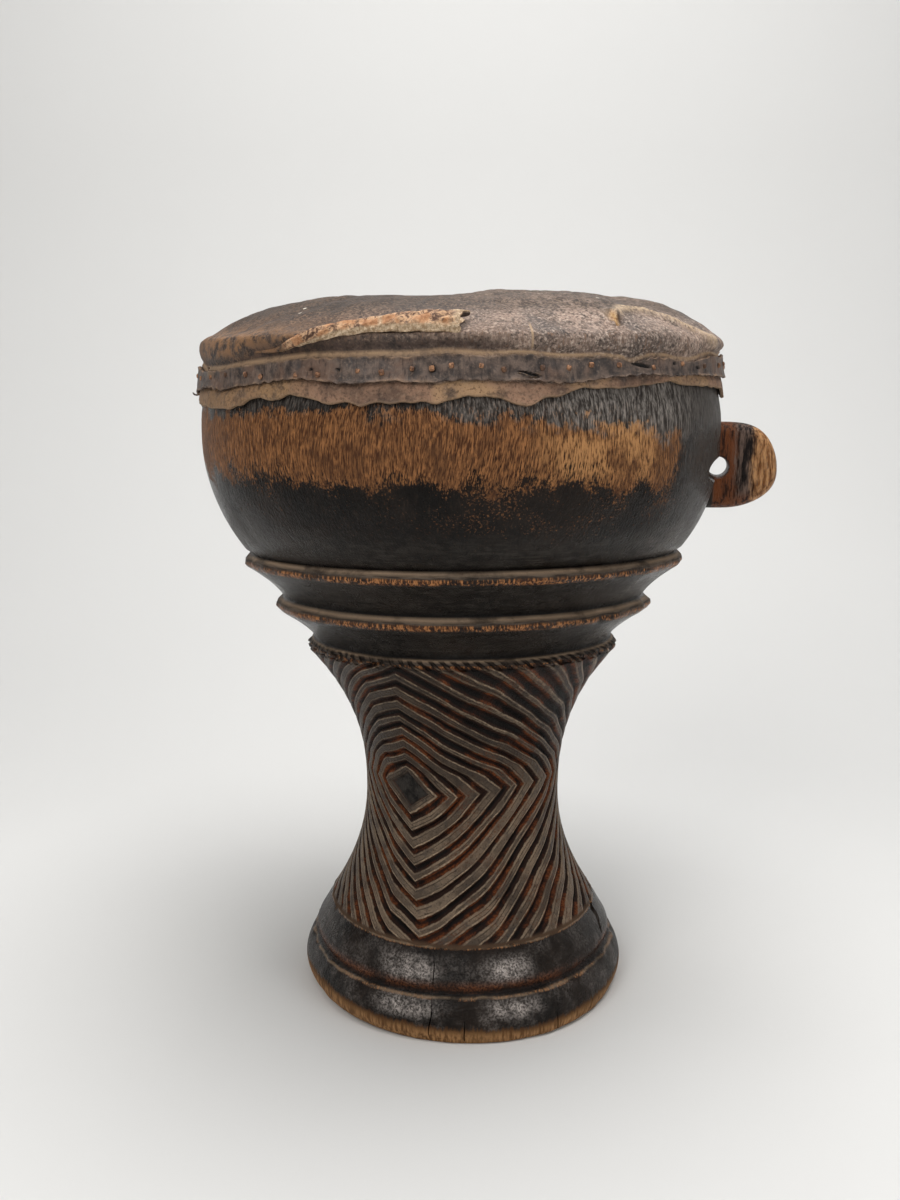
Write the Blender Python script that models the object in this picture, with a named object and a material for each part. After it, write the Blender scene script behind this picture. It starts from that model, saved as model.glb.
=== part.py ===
"""Carved wooden goblet drum with a pegged hide head and a pierced lug handle.

One solid for each piece: the carved body, the hide head, the hide strap round
the rim and the wooden pegs that pin the strap. Metres, +Z up, front at -Y.
"""
import math
import random

import bmesh
import bpy
from mathutils import Matrix, Vector

# Fit between pieces and shared facet counts
GAP = 0.0003
COLUMNS = 36
BORE_COLUMNS = 18

# Foot: two rounded steps under the carved stem
FOOT_RADIUS = 0.0874
FOOT_BULGE_SHARE = 0.078
FOOT_BULGE_ANGLE = math.radians(18)
FOOT_BULGE_FADE_Z = 0.012
FOOT_MOUTH_RADIUS = 0.069
FOOT_STEP_RADIUS = 0.0810
FOOT_LOWER_STEP = ((0.0046, 0.0), (0.0024, 0.0025), (0.0, 0.008), (0.0021, 0.0165), (0.0046, 0.0215))
FOOT_UPPER_STEP = ((0.0004, 0.0235), (0.0, 0.0265), (0.0022, 0.031), (0.0056, 0.0375))

# Carved stem between its lower and upper border
CARVING_BOTTOM_Z = 0.0435
CARVING_TOP_Z = 0.1845
CARVING_BORDER_LIP = 0.0004
CARVING_BORDER_HEIGHT = 0.0015
WAIST_Z = 0.106
WAIST_RADIUS = 0.0530
CARVING_TOP_RADIUS = 0.0820
WAIST_POWER_UP = 2.35
CARVING_BOTTOM_RADIUS = 0.0722
WAIST_POWER_DOWN = 2.1

# Nested lozenges: ridges are where the sum of steps around and steps up is whole
LOZENGE_ANGLE = math.radians(-32.5)
LOZENGE_Z = 0.1180
LOZENGE_HALF_WIDTH = math.radians(14)
LOZENGE_HALF_HEIGHT = 0.0108
LOZENGE_EDGE = 0.78
RIDGE_PITCH_LEFT = math.radians(7.8)
RIDGE_PITCH_RIGHT = math.radians(12.6)
RIDGE_PITCH_UP = 0.0068
RIDGE_PITCH_DOWN = 0.0087
RIDGES_AROUND = 18
RIDGES_UP = 8.5
RIDGES_DOWN = 8.5
RIDGE_SAMPLE_STEP = 2.0
RIDGE_SAMPLE_MARGIN = 0.7
RIDGE_DEPTH = 0.0021
LOWER_CORNER_DRIFT = math.radians(14.5)
LOWER_DRIFT_POWER = 1.4
UPPER_CORNER_DRIFT = math.radians(9)
UPPER_DRIFT_POWER = 3.0
# Turn from the centre, half-width and rise of each swerve of the side corners
SIDE_CORNER_RISES = ((math.radians(22), math.radians(45), -0.0042),
                     (math.radians(-38), math.radians(45), 0.0016))

# Rings under the bowl, from the top down: lip radius and the height of the lip's middle
RING_LIPS = ((0.1138, 0.2324), (0.0980, 0.2088), (0.0818, 0.1860))
RING_LIP_HEIGHT = 0.0038
RING_LEDGE_WIDTH = 0.0029
RING_LEDGE_RISE = 0.0026
RING_HOLLOW = 0.0012
BOWL_FOOT_Z = RING_LIPS[0][1] + 0.5 * RING_LIP_HEIGHT + RING_LEDGE_RISE
RING_TILT = 0.036
RING_TILT_ANGLE = math.radians(12)
STEM_OFFSET_X = 0.0013

# Bowl
BOWL_RADIUS = 0.1330
BOWL_BULGE_Z = 0.294
BOWL_ARC_RADIUS = 0.09
BOWL_WALL = 0.018
RIM_EDGE_WIDTH = 0.0062
FUNNEL_TOP_Z = 0.258
FUNNEL_POWER = 1.6
BORE_RADIUS = 0.027
BORE_TOP_Z = 0.140
BORE_BOTTOM_Z = 0.075
FOOT_FLARE_POWER = 1.4
BOWL_RING_SHARES = (0.19, 0.4, 0.66, 1.0)
BOWL_WALL_RING_SHARES = (0.0, 0.5)
FUNNEL_RING_SHARES = (1.0, 0.84, 0.64, 0.42, 0.2, 0.0)
FLARE_RING_SHARES = (0.0, 0.35, 0.7, 1.0)

# Hide head: skirt, shoulder and shallow dome, drawn over the bowl's rim
HIDE_THICKNESS = 0.0016
SHOULDER_RADIUS = BOWL_RADIUS - 0.0022
SHOULDER_Z = BOWL_BULGE_Z + 0.037
SHOULDER_STEPS = ((-0.0008, 0.0052), (0.0014, 0.0080), (0.0006, 0.0105), (-0.0035, 0.0138))
DOME_HEIGHT = 0.0175
DOME_RADIUS = SHOULDER_RADIUS - 0.0088
DOME_POWER = 4.6
DOME_RING_SHARES = (0.86, 0.7, 0.5, 0.25)
HIDE_TOP_Z = SHOULDER_Z + 0.035
SKIRT_FLARE = 0.155
SKIRT_SEAT_Z = SHOULDER_Z - 0.0235
SKIRT_TOP_Z = SHOULDER_Z - 0.009
SKIRT_EDGE_Z = SHOULDER_Z - 0.016
SKIRT_EDGE_SLOPE = 0.0035
SKIRT_WAVE = 0.0010
SKIRT_WAVES = ((5.0, 1.0, 1.0), (11.0, 0.0, 0.7))

# Pleat pulled up on the front left of the head, and the fuller dome on the lug's side
PLEAT_RADIUS = DOME_RADIUS + 0.0045
PLEAT_HALF_WIDTH = 0.0065
PLEAT_HEIGHT = 0.0032
PLEAT_FOOT_Z = SHOULDER_Z + 0.0065
PLEAT_FULL_Z = PLEAT_FOOT_Z + 0.006
PLEAT_START = math.radians(-50)
PLEAT_END = math.radians(-1)
PLEAT_RUN_OUT = math.radians(12)
SIDE_SWELL = 0.0016

# Strap round the rim, a little higher at the lug's side
STRAP_Z = SHOULDER_Z - 0.0037
STRAP_WIDTH = 0.0106
STRAP_THICKNESS = 0.0013
STRAP_SLOPE = 0.003

# Pegs: angles of those in front, in degrees from -Y towards +X, then an even spread
PEG_FRONT_DEGREES = (-60, -53, -45.5, -41, -32, -27, -19, -14.5, -9, -5.5, -2, 3, 7, 14, 19, 23.5,
                     29.5, 38, 47, 56, 66)
PEG_COUNT = 48
PEG_SIDE = 0.0024
PEG_DEPTH = 0.0065
PEG_PROUD = 0.0011
PEG_TWIST = math.radians(25)
PEG_TIP_SHARE = 0.8
PEG_SCATTER_Z = 0.0012

# Lug handle, an oval ear pierced from front to back
LUG_CENTRE_X = BOWL_RADIUS + 0.004
LUG_Z = BOWL_BULGE_Z - 0.014
LUG_REACH = 0.0287
LUG_HALF_HEIGHT = 0.0220
LUG_THICKNESS = 0.0205
LUG_ROOT_X = BOWL_RADIUS - 0.0125
LUG_EDGE_ROUND = 0.0045
LUG_ARC_STEPS = 12
LUG_FULLNESS = 0.86
LUG_BEVEL_ANGLE = math.radians(50)
LUG_HOLE_X = BOWL_RADIUS + 0.0023
LUG_HOLE_Z = LUG_Z - 0.0008
LUG_HOLE_DIAMETER = 0.0102
LUG_HOLE_TURN = math.radians(10)
LUG_HOLE_SEGMENTS = 14


def clear_scene():
    for item in list(bpy.data.objects):
        bpy.data.objects.remove(item, do_unlink=True)


def make_material(name, colour, roughness):
    material = bpy.data.materials.new(name)
    material.use_nodes = True
    shader = material.node_tree.nodes["Principled BSDF"]
    shader.inputs["Base Color"].default_value = (*colour, 1.0)
    shader.inputs["Roughness"].default_value = roughness
    shader.inputs["Metallic"].default_value = 0.0
    return material


def make_object(name, mesh_builder, material, parent):
    """Turn a filled bmesh into a named object with outward faces."""
    bmesh.ops.recalc_face_normals(mesh_builder, faces=mesh_builder.faces)
    mesh = bpy.data.meshes.new(name)
    mesh_builder.to_mesh(mesh)
    mesh_builder.free()
    thing = bpy.data.objects.new(name, mesh)
    bpy.context.scene.collection.objects.link(thing)
    thing.parent = parent
    if material is not None:
        mesh.materials.append(material)
        mesh.shade_smooth()
        mesh.set_sharp_from_angle(angle=math.radians(32))
    return thing


def hide_as_cutter(thing):
    thing.hide_render = True
    thing.display_type = "WIRE"
    return thing


def add_boolean(thing, operation, tool):
    modifier = thing.modifiers.new(operation.lower() + "_" + tool.name, "BOOLEAN")
    modifier.operation = operation
    modifier.solver = "EXACT"
    modifier.object = tool


def blend(low, high, value):
    """Smooth step from 0 below low to 1 above high."""
    share = min(max((value - low) / (high - low), 0.0), 1.0)
    return share * share * (3.0 - 2.0 * share)


def ring_tilt(z):
    """The rings were cut out of level: their front edge is the higher one."""
    below = blend(CARVING_BOTTOM_Z, CARVING_TOP_Z, z)
    return RING_TILT * below * (1.0 - blend(BOWL_FOOT_Z, BOWL_BULGE_Z, z))


def on_turned_body(angle, radius, z):
    """Point of the body at an angle from -Y towards +X."""
    bulge = math.cos(angle - FOOT_BULGE_ANGLE) ** 2 * math.exp(-z / FOOT_BULGE_FADE_Z)
    radius *= 1.0 + FOOT_BULGE_SHARE * bulge
    raised = z + ring_tilt(z) * radius * math.cos(angle - RING_TILT_ANGLE)
    middle = STEM_OFFSET_X * (1.0 - blend(BOWL_FOOT_Z, BOWL_BULGE_Z, z))
    return Vector((middle + radius * math.sin(angle), -radius * math.cos(angle), raised))


def on_axis_body(angle, radius, z):
    """Point of a piece turned about the upright axis, with no tilt."""
    return Vector((radius * math.sin(angle), -radius * math.cos(angle), z))


def add_ring(builder, radius, z, columns, place):
    """Closed ring as pairs of angle and vertex."""
    angles = [2.0 * math.pi * step / columns for step in range(columns)]
    return [(angle, builder.verts.new(place(angle, radius, z))) for angle in angles]


def stitch(builder, first, second):
    """Fill the strip between two runs of (parameter, vertex) with triangles."""
    i = 0
    j = 0
    while i < len(first) - 1 or j < len(second) - 1:
        step_first = j == len(second) - 1
        if not step_first and i < len(first) - 1:
            step_first = first[i + 1][0] + first[i][0] <= second[j + 1][0] + second[j][0]
        if step_first:
            corners = (first[i][1], first[i + 1][1], second[j][1])
            i += 1
        else:
            corners = (first[i][1], second[j + 1][1], second[j][1])
            j += 1
        if len(set(corners)) == 3:
            builder.faces.new(corners)


def stitch_rings(builder, lower, upper):
    """Fill between two closed rings."""
    def closed(ring):
        return ring + [(ring[0][0] + 2.0 * math.pi, ring[0][1])]
    stitch(builder, closed(lower), closed(upper))


def waist_radius(z):
    """Radius of the stem's ridge tops."""
    if z >= WAIST_Z:
        share = (z - WAIST_Z) / (CARVING_TOP_Z - WAIST_Z)
        return WAIST_RADIUS + (CARVING_TOP_RADIUS - WAIST_RADIUS) * share ** WAIST_POWER_UP
    share = (WAIST_Z - z) / (WAIST_Z - CARVING_BOTTOM_Z)
    return WAIST_RADIUS + (CARVING_BOTTOM_RADIUS - WAIST_RADIUS) * share ** WAIST_POWER_DOWN


def stepped_offset(steps, first, pitch, total_steps, total):
    """Distance from the lozenge's centre after some steps, the pitch growing outwards."""
    if steps <= 1.0:
        return first * steps
    growth = (total - first - pitch * (total_steps - 1.0)) / (total_steps - 1.0) ** 2
    return first + pitch * (steps - 1.0) + growth * (steps - 1.0) ** 2


def side_corner_rise(turn):
    """How far the lozenges' side corners stand above their centre, by the turn from it."""
    rise = 0.0
    for middle, half_width, height in SIDE_CORNER_RISES:
        share = min(1.0, abs(turn - middle) / half_width)
        rise += 0.5 * height * (1.0 + math.cos(math.pi * share))
    return rise


def carving_angle_and_height(around, up):
    """Angle and height of a place given in steps around and steps up."""
    pitch = RIDGE_PITCH_RIGHT if around > 0.0 else RIDGE_PITCH_LEFT
    turn = stepped_offset(abs(around), LOZENGE_HALF_WIDTH, pitch, RIDGES_AROUND, math.pi)
    turn = math.copysign(turn, around)
    if up >= 0.0:
        reach = CARVING_TOP_Z - LOZENGE_Z
        z = LOZENGE_Z + stepped_offset(up, LOZENGE_HALF_HEIGHT, RIDGE_PITCH_UP, RIDGES_UP, reach)
    else:
        reach = LOZENGE_Z - CARVING_BOTTOM_Z
        z = LOZENGE_Z - stepped_offset(-up, LOZENGE_HALF_HEIGHT, RIDGE_PITCH_DOWN, RIDGES_DOWN, reach)
    above = max(z - LOZENGE_Z, 0.0) / (CARVING_TOP_Z - LOZENGE_Z)
    below = max(LOZENGE_Z - z, 0.0) / (LOZENGE_Z - CARVING_BOTTOM_Z)
    drift = UPPER_CORNER_DRIFT * above ** UPPER_DRIFT_POWER
    drift += LOWER_CORNER_DRIFT * below ** LOWER_DRIFT_POWER
    rise = side_corner_rise(turn) * (1.0 - above ** 2) * (1.0 - below ** 2)
    return LOZENGE_ANGLE + turn + drift, z + rise


def carving_depth(level):
    """Depth below the ridge tops: ridges at whole levels, grooves between them."""
    if level < 1.0:
        return RIDGE_DEPTH
    return RIDGE_DEPTH * 2.0 * abs(level - round(level))


def carve_stem(builder):
    """Facets of the nested lozenges, each quadrant stitched from ridge to groove."""
    known = {}

    def vertex(around, up):
        wrapped = abs(around) if abs(around) == RIDGES_AROUND else around
        key = (round(wrapped, 4), round(up, 4))
        if key not in known:
            angle, z = carving_angle_and_height(around, up)
            radius = waist_radius(z) - carving_depth(abs(around) + abs(up))
            known[key] = builder.verts.new(on_turned_body(angle, radius, z))
        return known[key]

    def line(level, side, sense, up_limit):
        low = max(0.0, level - RIDGES_AROUND)
        high = min(level, up_limit)
        inner = [RIDGE_SAMPLE_STEP * n for n in range(1, int(up_limit / RIDGE_SAMPLE_STEP) + 1)]
        ups = [low] + [up for up in inner if RIDGE_SAMPLE_MARGIN < min(up - low, high - up)]
        if high > low:
            ups.append(high)
        return [(up, vertex(side * (level - up), sense * up)) for up in ups]

    for side in (1.0, -1.0):
        for sense, up_limit in ((1.0, RIDGES_UP), (-1.0, RIDGES_DOWN)):
            levels = [0.0, LOZENGE_EDGE]
            levels += [1.0 + 0.5 * n for n in range(int(2.0 * (RIDGES_AROUND + up_limit)) - 1)]
            lines = [line(level, side, sense, up_limit) for level in levels]
            for inner_line, outer_line in zip(lines, lines[1:]):
                stitch(builder, inner_line, outer_line)

    def border(up):
        ring = []
        for half_step in range(-2 * RIDGES_AROUND, 2 * RIDGES_AROUND):
            around = 0.5 * half_step
            angle = carving_angle_and_height(around, up)[0]
            ring.append((angle + 2.0 * math.pi, vertex(around, up)))
        return ring

    return border(-RIDGES_DOWN), border(RIDGES_UP)


def start_near(ring, angle):
    """The same ring, with its angles unwrapped to start at or just after an angle."""
    turned = [((value - angle) % (2.0 * math.pi) + angle, vert) for value, vert in ring]
    return sorted(turned, key=lambda pair: pair[0])


def bowl_radius(z):
    """Outer radius of the bowl, an arc below its widest place and a slow taper above."""
    if z < BOWL_BULGE_Z:
        drop = BOWL_BULGE_Z - z
        return BOWL_RADIUS - BOWL_ARC_RADIUS + math.sqrt(BOWL_ARC_RADIUS ** 2 - drop ** 2)
    return BOWL_RADIUS


def hide_radius(z):
    """Outer radius of the skirt at a height."""
    return SHOULDER_RADIUS + SKIRT_FLARE * (SHOULDER_Z - z)


def hide_outline(pleat_radii):
    """Outer outline of the hide from the skirt up to the crown, as (radius, z)."""
    skirt = [(hide_radius(z), z) for z in (SKIRT_EDGE_Z, SKIRT_TOP_Z)]
    shoulder = [(SHOULDER_RADIUS + outwards, SHOULDER_Z + rise) for outwards, rise in SHOULDER_STEPS]
    dome = []
    for radius in [DOME_RADIUS] + pleat_radii + [DOME_RADIUS * share for share in DOME_RING_SHARES]:
        dome.append((radius, HIDE_TOP_Z - DOME_HEIGHT * (radius / DOME_RADIUS) ** DOME_POWER))
    return skirt + shoulder + dome


def shift_inwards(outline, distance):
    """The outline moved along its inward normals, for an outline that runs up and inwards."""
    shifted = []
    for index, (radius, z) in enumerate(outline):
        before = outline[max(index - 1, 0)]
        after = outline[min(index + 1, len(outline) - 1)]
        along = Vector((after[0] - before[0], after[1] - before[1])).normalized()
        shifted.append((radius - distance * along.y, z + distance * along.x))
    return shifted


def skirt_edge_shift(angle):
    """How far the torn lower edge of the skirt lies above its mean height."""
    wave = sum(share * math.sin(turns * angle + start) for turns, start, share in SKIRT_WAVES)
    return SKIRT_EDGE_SLOPE * math.sin(angle) + SKIRT_WAVE * wave


def between(start, end, shares):
    """Values at given shares of the way from start to end."""
    return [start + (end - start) * share for share in shares]


def build_body(material, parent):
    """The carved shell as one closed body, hollow from the foot to the rim."""
    builder = bmesh.new()

    def outer(radius, z):
        return add_ring(builder, radius, z, COLUMNS, on_turned_body)

    def inner(radius, z):
        return add_ring(builder, radius, z, BORE_COLUMNS, on_turned_body)

    foot = [outer(FOOT_RADIUS - inset, z) for inset, z in FOOT_LOWER_STEP]
    foot += [outer(FOOT_STEP_RADIUS - inset, z) for inset, z in FOOT_UPPER_STEP]
    border_radius = CARVING_BOTTOM_RADIUS + CARVING_BORDER_LIP
    foot.append(outer(border_radius, CARVING_BOTTOM_Z - CARVING_BORDER_HEIGHT))

    carving_foot, carving_top = carve_stem(builder)

    rings = []
    for radius, middle_z in reversed(RING_LIPS):
        if rings:
            mean_radius = 0.5 * (ledge[0] + radius) - RING_HOLLOW
            mean_z = 0.5 * (ledge[1] + middle_z - 0.5 * RING_LIP_HEIGHT) + RING_HOLLOW
            rings.append(outer(mean_radius, mean_z))
            rings.append(outer(radius, middle_z - 0.5 * RING_LIP_HEIGHT))
        rings.append(outer(radius, middle_z + 0.5 * RING_LIP_HEIGHT))
        ledge = (radius - RING_LEDGE_WIDTH, middle_z + 0.5 * RING_LIP_HEIGHT + RING_LEDGE_RISE)
        rings.append(outer(*ledge))
    bowl = [outer(bowl_radius(z), z) for z in between(BOWL_FOOT_Z, BOWL_BULGE_Z, BOWL_RING_SHARES)]
    bowl.append(outer(hide_radius(SKIRT_SEAT_Z) - HIDE_THICKNESS - GAP, SKIRT_SEAT_Z))

    wood_under_hide = shift_inwards(hide_outline([]), HIDE_THICKNESS + GAP)[1:5]
    rim = [outer(radius, z) for radius, z in wood_under_hide]

    for lower, upper in zip(foot, foot[1:]):
        stitch_rings(builder, lower, upper)
    stitch_rings(builder, start_near(foot[-1], 0.0), start_near(carving_foot, 0.0))
    stitch_rings(builder, start_near(carving_top, 0.0), start_near(rings[0], 0.0))
    upper_rings = rings + bowl + rim
    for lower, upper in zip(upper_rings, upper_rings[1:]):
        stitch_rings(builder, lower, upper)

    rim_radius, rim_z = wood_under_hide[-1]
    hollow = [inner(rim_radius - RIM_EDGE_WIDTH, rim_z - GAP)]
    for z in between(BOWL_BULGE_Z, FUNNEL_TOP_Z, BOWL_WALL_RING_SHARES):
        hollow.append(inner(bowl_radius(z) - BOWL_WALL, z))
    widening = bowl_radius(FUNNEL_TOP_Z) - BOWL_WALL - BORE_RADIUS
    for share in FUNNEL_RING_SHARES:
        radius = BORE_RADIUS + widening * share ** FUNNEL_POWER
        hollow.append(inner(radius, BORE_TOP_Z + (FUNNEL_TOP_Z - BORE_TOP_Z) * share))
    for share in FLARE_RING_SHARES:
        radius = BORE_RADIUS + (FOOT_MOUTH_RADIUS - BORE_RADIUS) * share ** FOOT_FLARE_POWER
        hollow.append(inner(radius, BORE_BOTTOM_Z * (1.0 - share)))
    stitch_rings(builder, rim[-1], hollow[0])
    for upper, lower in zip(hollow, hollow[1:]):
        stitch_rings(builder, upper, lower)
    stitch_rings(builder, hollow[-1], foot[0])
    return make_object("drum_body", builder, material, parent)


def build_lug(parent):
    """The ear that is joined to the body, rooted inside the bowl's wall."""
    outline = [(LUG_ROOT_X, LUG_Z - LUG_HALF_HEIGHT)]
    for step in range(LUG_ARC_STEPS + 1):
        turn = math.pi * (step / LUG_ARC_STEPS - 0.5)
        across = math.cos(turn) ** LUG_FULLNESS if step not in (0, LUG_ARC_STEPS) else 0.0
        upward = math.copysign(abs(math.sin(turn)) ** LUG_FULLNESS, turn)
        outline.append((LUG_CENTRE_X + LUG_REACH * across, LUG_Z + LUG_HALF_HEIGHT * upward))
    outline.append((LUG_ROOT_X, LUG_Z + LUG_HALF_HEIGHT))
    builder = bmesh.new()
    front = [builder.verts.new((x, -LUG_THICKNESS / 2.0, z)) for x, z in outline]
    face = builder.faces.new(front)
    extruded = bmesh.ops.extrude_face_region(builder, geom=[face])
    moved = [item for item in extruded["geom"] if isinstance(item, bmesh.types.BMVert)]
    bmesh.ops.translate(builder, verts=moved, vec=(0.0, LUG_THICKNESS, 0.0))
    lug = hide_as_cutter(make_object("lug_form", builder, None, parent))
    bevel = lug.modifiers.new("rounded_edge", "BEVEL")
    bevel.width = LUG_EDGE_ROUND
    bevel.segments = 3
    bevel.limit_method = "ANGLE"
    bevel.angle_limit = LUG_BEVEL_ANGLE
    return lug


def build_lug_hole(parent):
    builder = bmesh.new()
    bmesh.ops.create_cone(builder, cap_ends=True, segments=LUG_HOLE_SEGMENTS,
                          radius1=LUG_HOLE_DIAMETER / 2.0, radius2=LUG_HOLE_DIAMETER / 2.0,
                          depth=LUG_THICKNESS * 7.0)
    bmesh.ops.rotate(builder, verts=builder.verts, cent=(0.0, 0.0, 0.0),
                     matrix=Matrix.Rotation(math.pi / 2.0, 3, "X"))
    bmesh.ops.rotate(builder, verts=builder.verts, cent=(0.0, 0.0, 0.0),
                     matrix=Matrix.Rotation(-LUG_HOLE_TURN, 3, "Z"))
    bmesh.ops.translate(builder, verts=builder.verts, vec=(LUG_HOLE_X, 0.0, LUG_HOLE_Z))
    return hide_as_cutter(make_object("lug_hole_cutter", builder, None, parent))


def head_lift(angle, radius, z):
    """How far the hide stands up: the pleat in front, the swelling on the lug's side."""
    turn = (angle + math.pi) % (2.0 * math.pi) - math.pi
    across = max(0.0, 1.0 - abs(radius - PLEAT_RADIUS) / PLEAT_HALF_WIDTH)
    across *= blend(PLEAT_FOOT_Z, PLEAT_FULL_Z, z)
    along = blend(PLEAT_START, PLEAT_START + PLEAT_RUN_OUT, turn)
    along *= 1.0 - blend(PLEAT_END, PLEAT_END + 0.5 * PLEAT_RUN_OUT, turn)
    swell = max(0.0, math.sin(angle)) ** 2 * blend(0.4 * DOME_RADIUS, 0.8 * DOME_RADIUS, radius)
    swell *= 1.0 - blend(DOME_RADIUS, SHOULDER_RADIUS - HIDE_THICKNESS, radius)
    return PLEAT_HEIGHT * across * along + SIDE_SWELL * swell


def build_head(material, parent):
    """The hide: skirt, shoulder and dome, with its true thickness."""
    builder = bmesh.new()
    outside = hide_outline([PLEAT_RADIUS - PLEAT_HALF_WIDTH])
    inside = shift_inwards(hide_outline([]), HIDE_THICKNESS)

    def surface(outline, top_z):
        rings = []
        for index, (radius, z) in enumerate(outline):
            def place(angle, ring_radius, ring_z, lowest=index == 0):
                shift = skirt_edge_shift(angle) if lowest else 0.0
                lifted = ring_z + shift + head_lift(angle, ring_radius, ring_z)
                return on_axis_body(angle, ring_radius - SKIRT_FLARE * shift, lifted)
            columns = COLUMNS if radius > 0.6 * DOME_RADIUS else BORE_COLUMNS
            rings.append(add_ring(builder, radius, z, columns, place))
        for lower, upper in zip(rings, rings[1:]):
            stitch_rings(builder, lower, upper)
        crown = builder.verts.new((0.0, 0.0, top_z))
        last = [vert for _, vert in rings[-1]]
        for first, second in zip(last, last[1:] + last[:1]):
            builder.faces.new((first, second, crown))
        return rings[0]

    outer_edge = surface(outside, HIDE_TOP_Z)
    inner_edge = surface(inside, HIDE_TOP_Z - HIDE_THICKNESS)
    stitch_rings(builder, inner_edge, outer_edge)
    return make_object("drum_head", builder, material, parent)


def strap_middle_z(angle):
    return STRAP_Z + STRAP_SLOPE * math.sin(angle)


def build_strap(material, parent):
    """The flat band that clamps the skirt to the bowl."""
    builder = bmesh.new()
    corners = []
    for outwards, upwards in ((0, -1), (1, -1), (1, 1), (0, 1)):
        def place(angle, proud, rise):
            z = strap_middle_z(angle) + rise
            return on_axis_body(angle, hide_radius(z) + GAP + proud, z)
        corners.append(add_ring(builder, outwards * STRAP_THICKNESS, upwards * STRAP_WIDTH / 2.0,
                                COLUMNS, place))
    for ring, following in zip(corners, corners[1:] + corners[:1]):
        stitch_rings(builder, ring, following)
    return make_object("rim_strap", builder, material, parent)


def peg_angles():
    """The front pegs at their own angles, the others evenly round the back."""
    front = [math.radians(value) for value in PEG_FRONT_DEGREES]
    others = PEG_COUNT - len(front)
    free = 2.0 * math.pi - (front[-1] - front[0])
    return front + [front[-1] + free * (step + 1) / (others + 1) for step in range(others)]


def fill_peg(builder, half_side, start, end, matrix):
    """A square pin along +X from start to end, put in place by a matrix."""
    box = bmesh.ops.create_cube(builder, size=1.0)
    for vert in box["verts"]:
        along = start if vert.co.x < 0.0 else end
        taper = PEG_TIP_SHARE if vert.co.x < 0.0 else 1.0
        across = 2.0 * half_side * taper
        vert.co = matrix @ Vector((along, vert.co.y * across, vert.co.z * across))


def peg_places():
    """Matrix and strap radius of each peg: +X runs outwards through the strap."""
    generator = random.Random(7)
    places = []
    for angle in peg_angles():
        z = strap_middle_z(angle) + generator.uniform(-PEG_SCATTER_Z, PEG_SCATTER_Z)
        twist = generator.uniform(-PEG_TWIST, PEG_TWIST)
        turn = Matrix.Rotation(angle - math.pi / 2.0, 4, "Z") @ Matrix.Rotation(twist, 4, "X")
        strap_radius = hide_radius(z) + GAP + STRAP_THICKNESS
        places.append((Matrix.Translation((0.0, 0.0, z)) @ turn, strap_radius))
    return places


def build_pegs(material, parent):
    """The pins, and one cutter that opens their holes with the same sizes plus the gap."""
    holes = bmesh.new()
    under_strap = 2.0 * GAP + HIDE_THICKNESS + STRAP_THICKNESS
    for number, (matrix, strap_radius) in enumerate(peg_places(), start=1):
        inner_end = strap_radius - under_strap - PEG_DEPTH
        builder = bmesh.new()
        fill_peg(builder, PEG_SIDE / 2.0, inner_end, strap_radius + PEG_PROUD, matrix)
        make_object("peg_%02d" % number, builder, material, parent)
        clearance = GAP / PEG_TIP_SHARE
        outside = strap_radius + 3.0 * PEG_PROUD
        fill_peg(holes, PEG_SIDE / 2.0 + clearance, inner_end - GAP, outside, matrix)
    return hide_as_cutter(make_object("peg_hole_cutters", holes, None, parent))


def stand_on_origin(parent):
    """Move the whole drum so that its box stands centred on the origin."""
    bpy.context.view_layer.update()
    graph = bpy.context.evaluated_depsgraph_get()
    corners = []
    for thing in bpy.context.scene.objects:
        if thing.type == "MESH" and not thing.hide_render:
            solid = thing.evaluated_get(graph)
            corners += [solid.matrix_world @ vert.co for vert in solid.data.vertices]
    middle = [0.5 * (min(c[k] for c in corners) + max(c[k] for c in corners)) for k in (0, 1)]
    parent.location = (-middle[0], -middle[1], -min(c.z for c in corners))


def main():
    clear_scene()
    axis = bpy.data.objects.new("drum_axis", None)
    bpy.context.scene.collection.objects.link(axis)
    wood = make_material("carved_wood", (0.052, 0.032, 0.022), 0.55)
    hide = make_material("aged_hide", (0.20, 0.15, 0.11), 0.7)
    strap = make_material("strap_hide", (0.10, 0.065, 0.045), 0.75)
    peg = make_material("peg_wood", (0.16, 0.10, 0.06), 0.65)

    body = build_body(wood, axis)
    head = build_head(hide, axis)
    rim_strap = build_strap(strap, axis)
    holes = build_pegs(peg, axis)
    add_boolean(body, "UNION", build_lug(axis))
    add_boolean(body, "DIFFERENCE", build_lug_hole(axis))
    for pierced in (body, head, rim_strap):
        add_boolean(pierced, "DIFFERENCE", holes)
    stand_on_origin(axis)


main()
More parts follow.
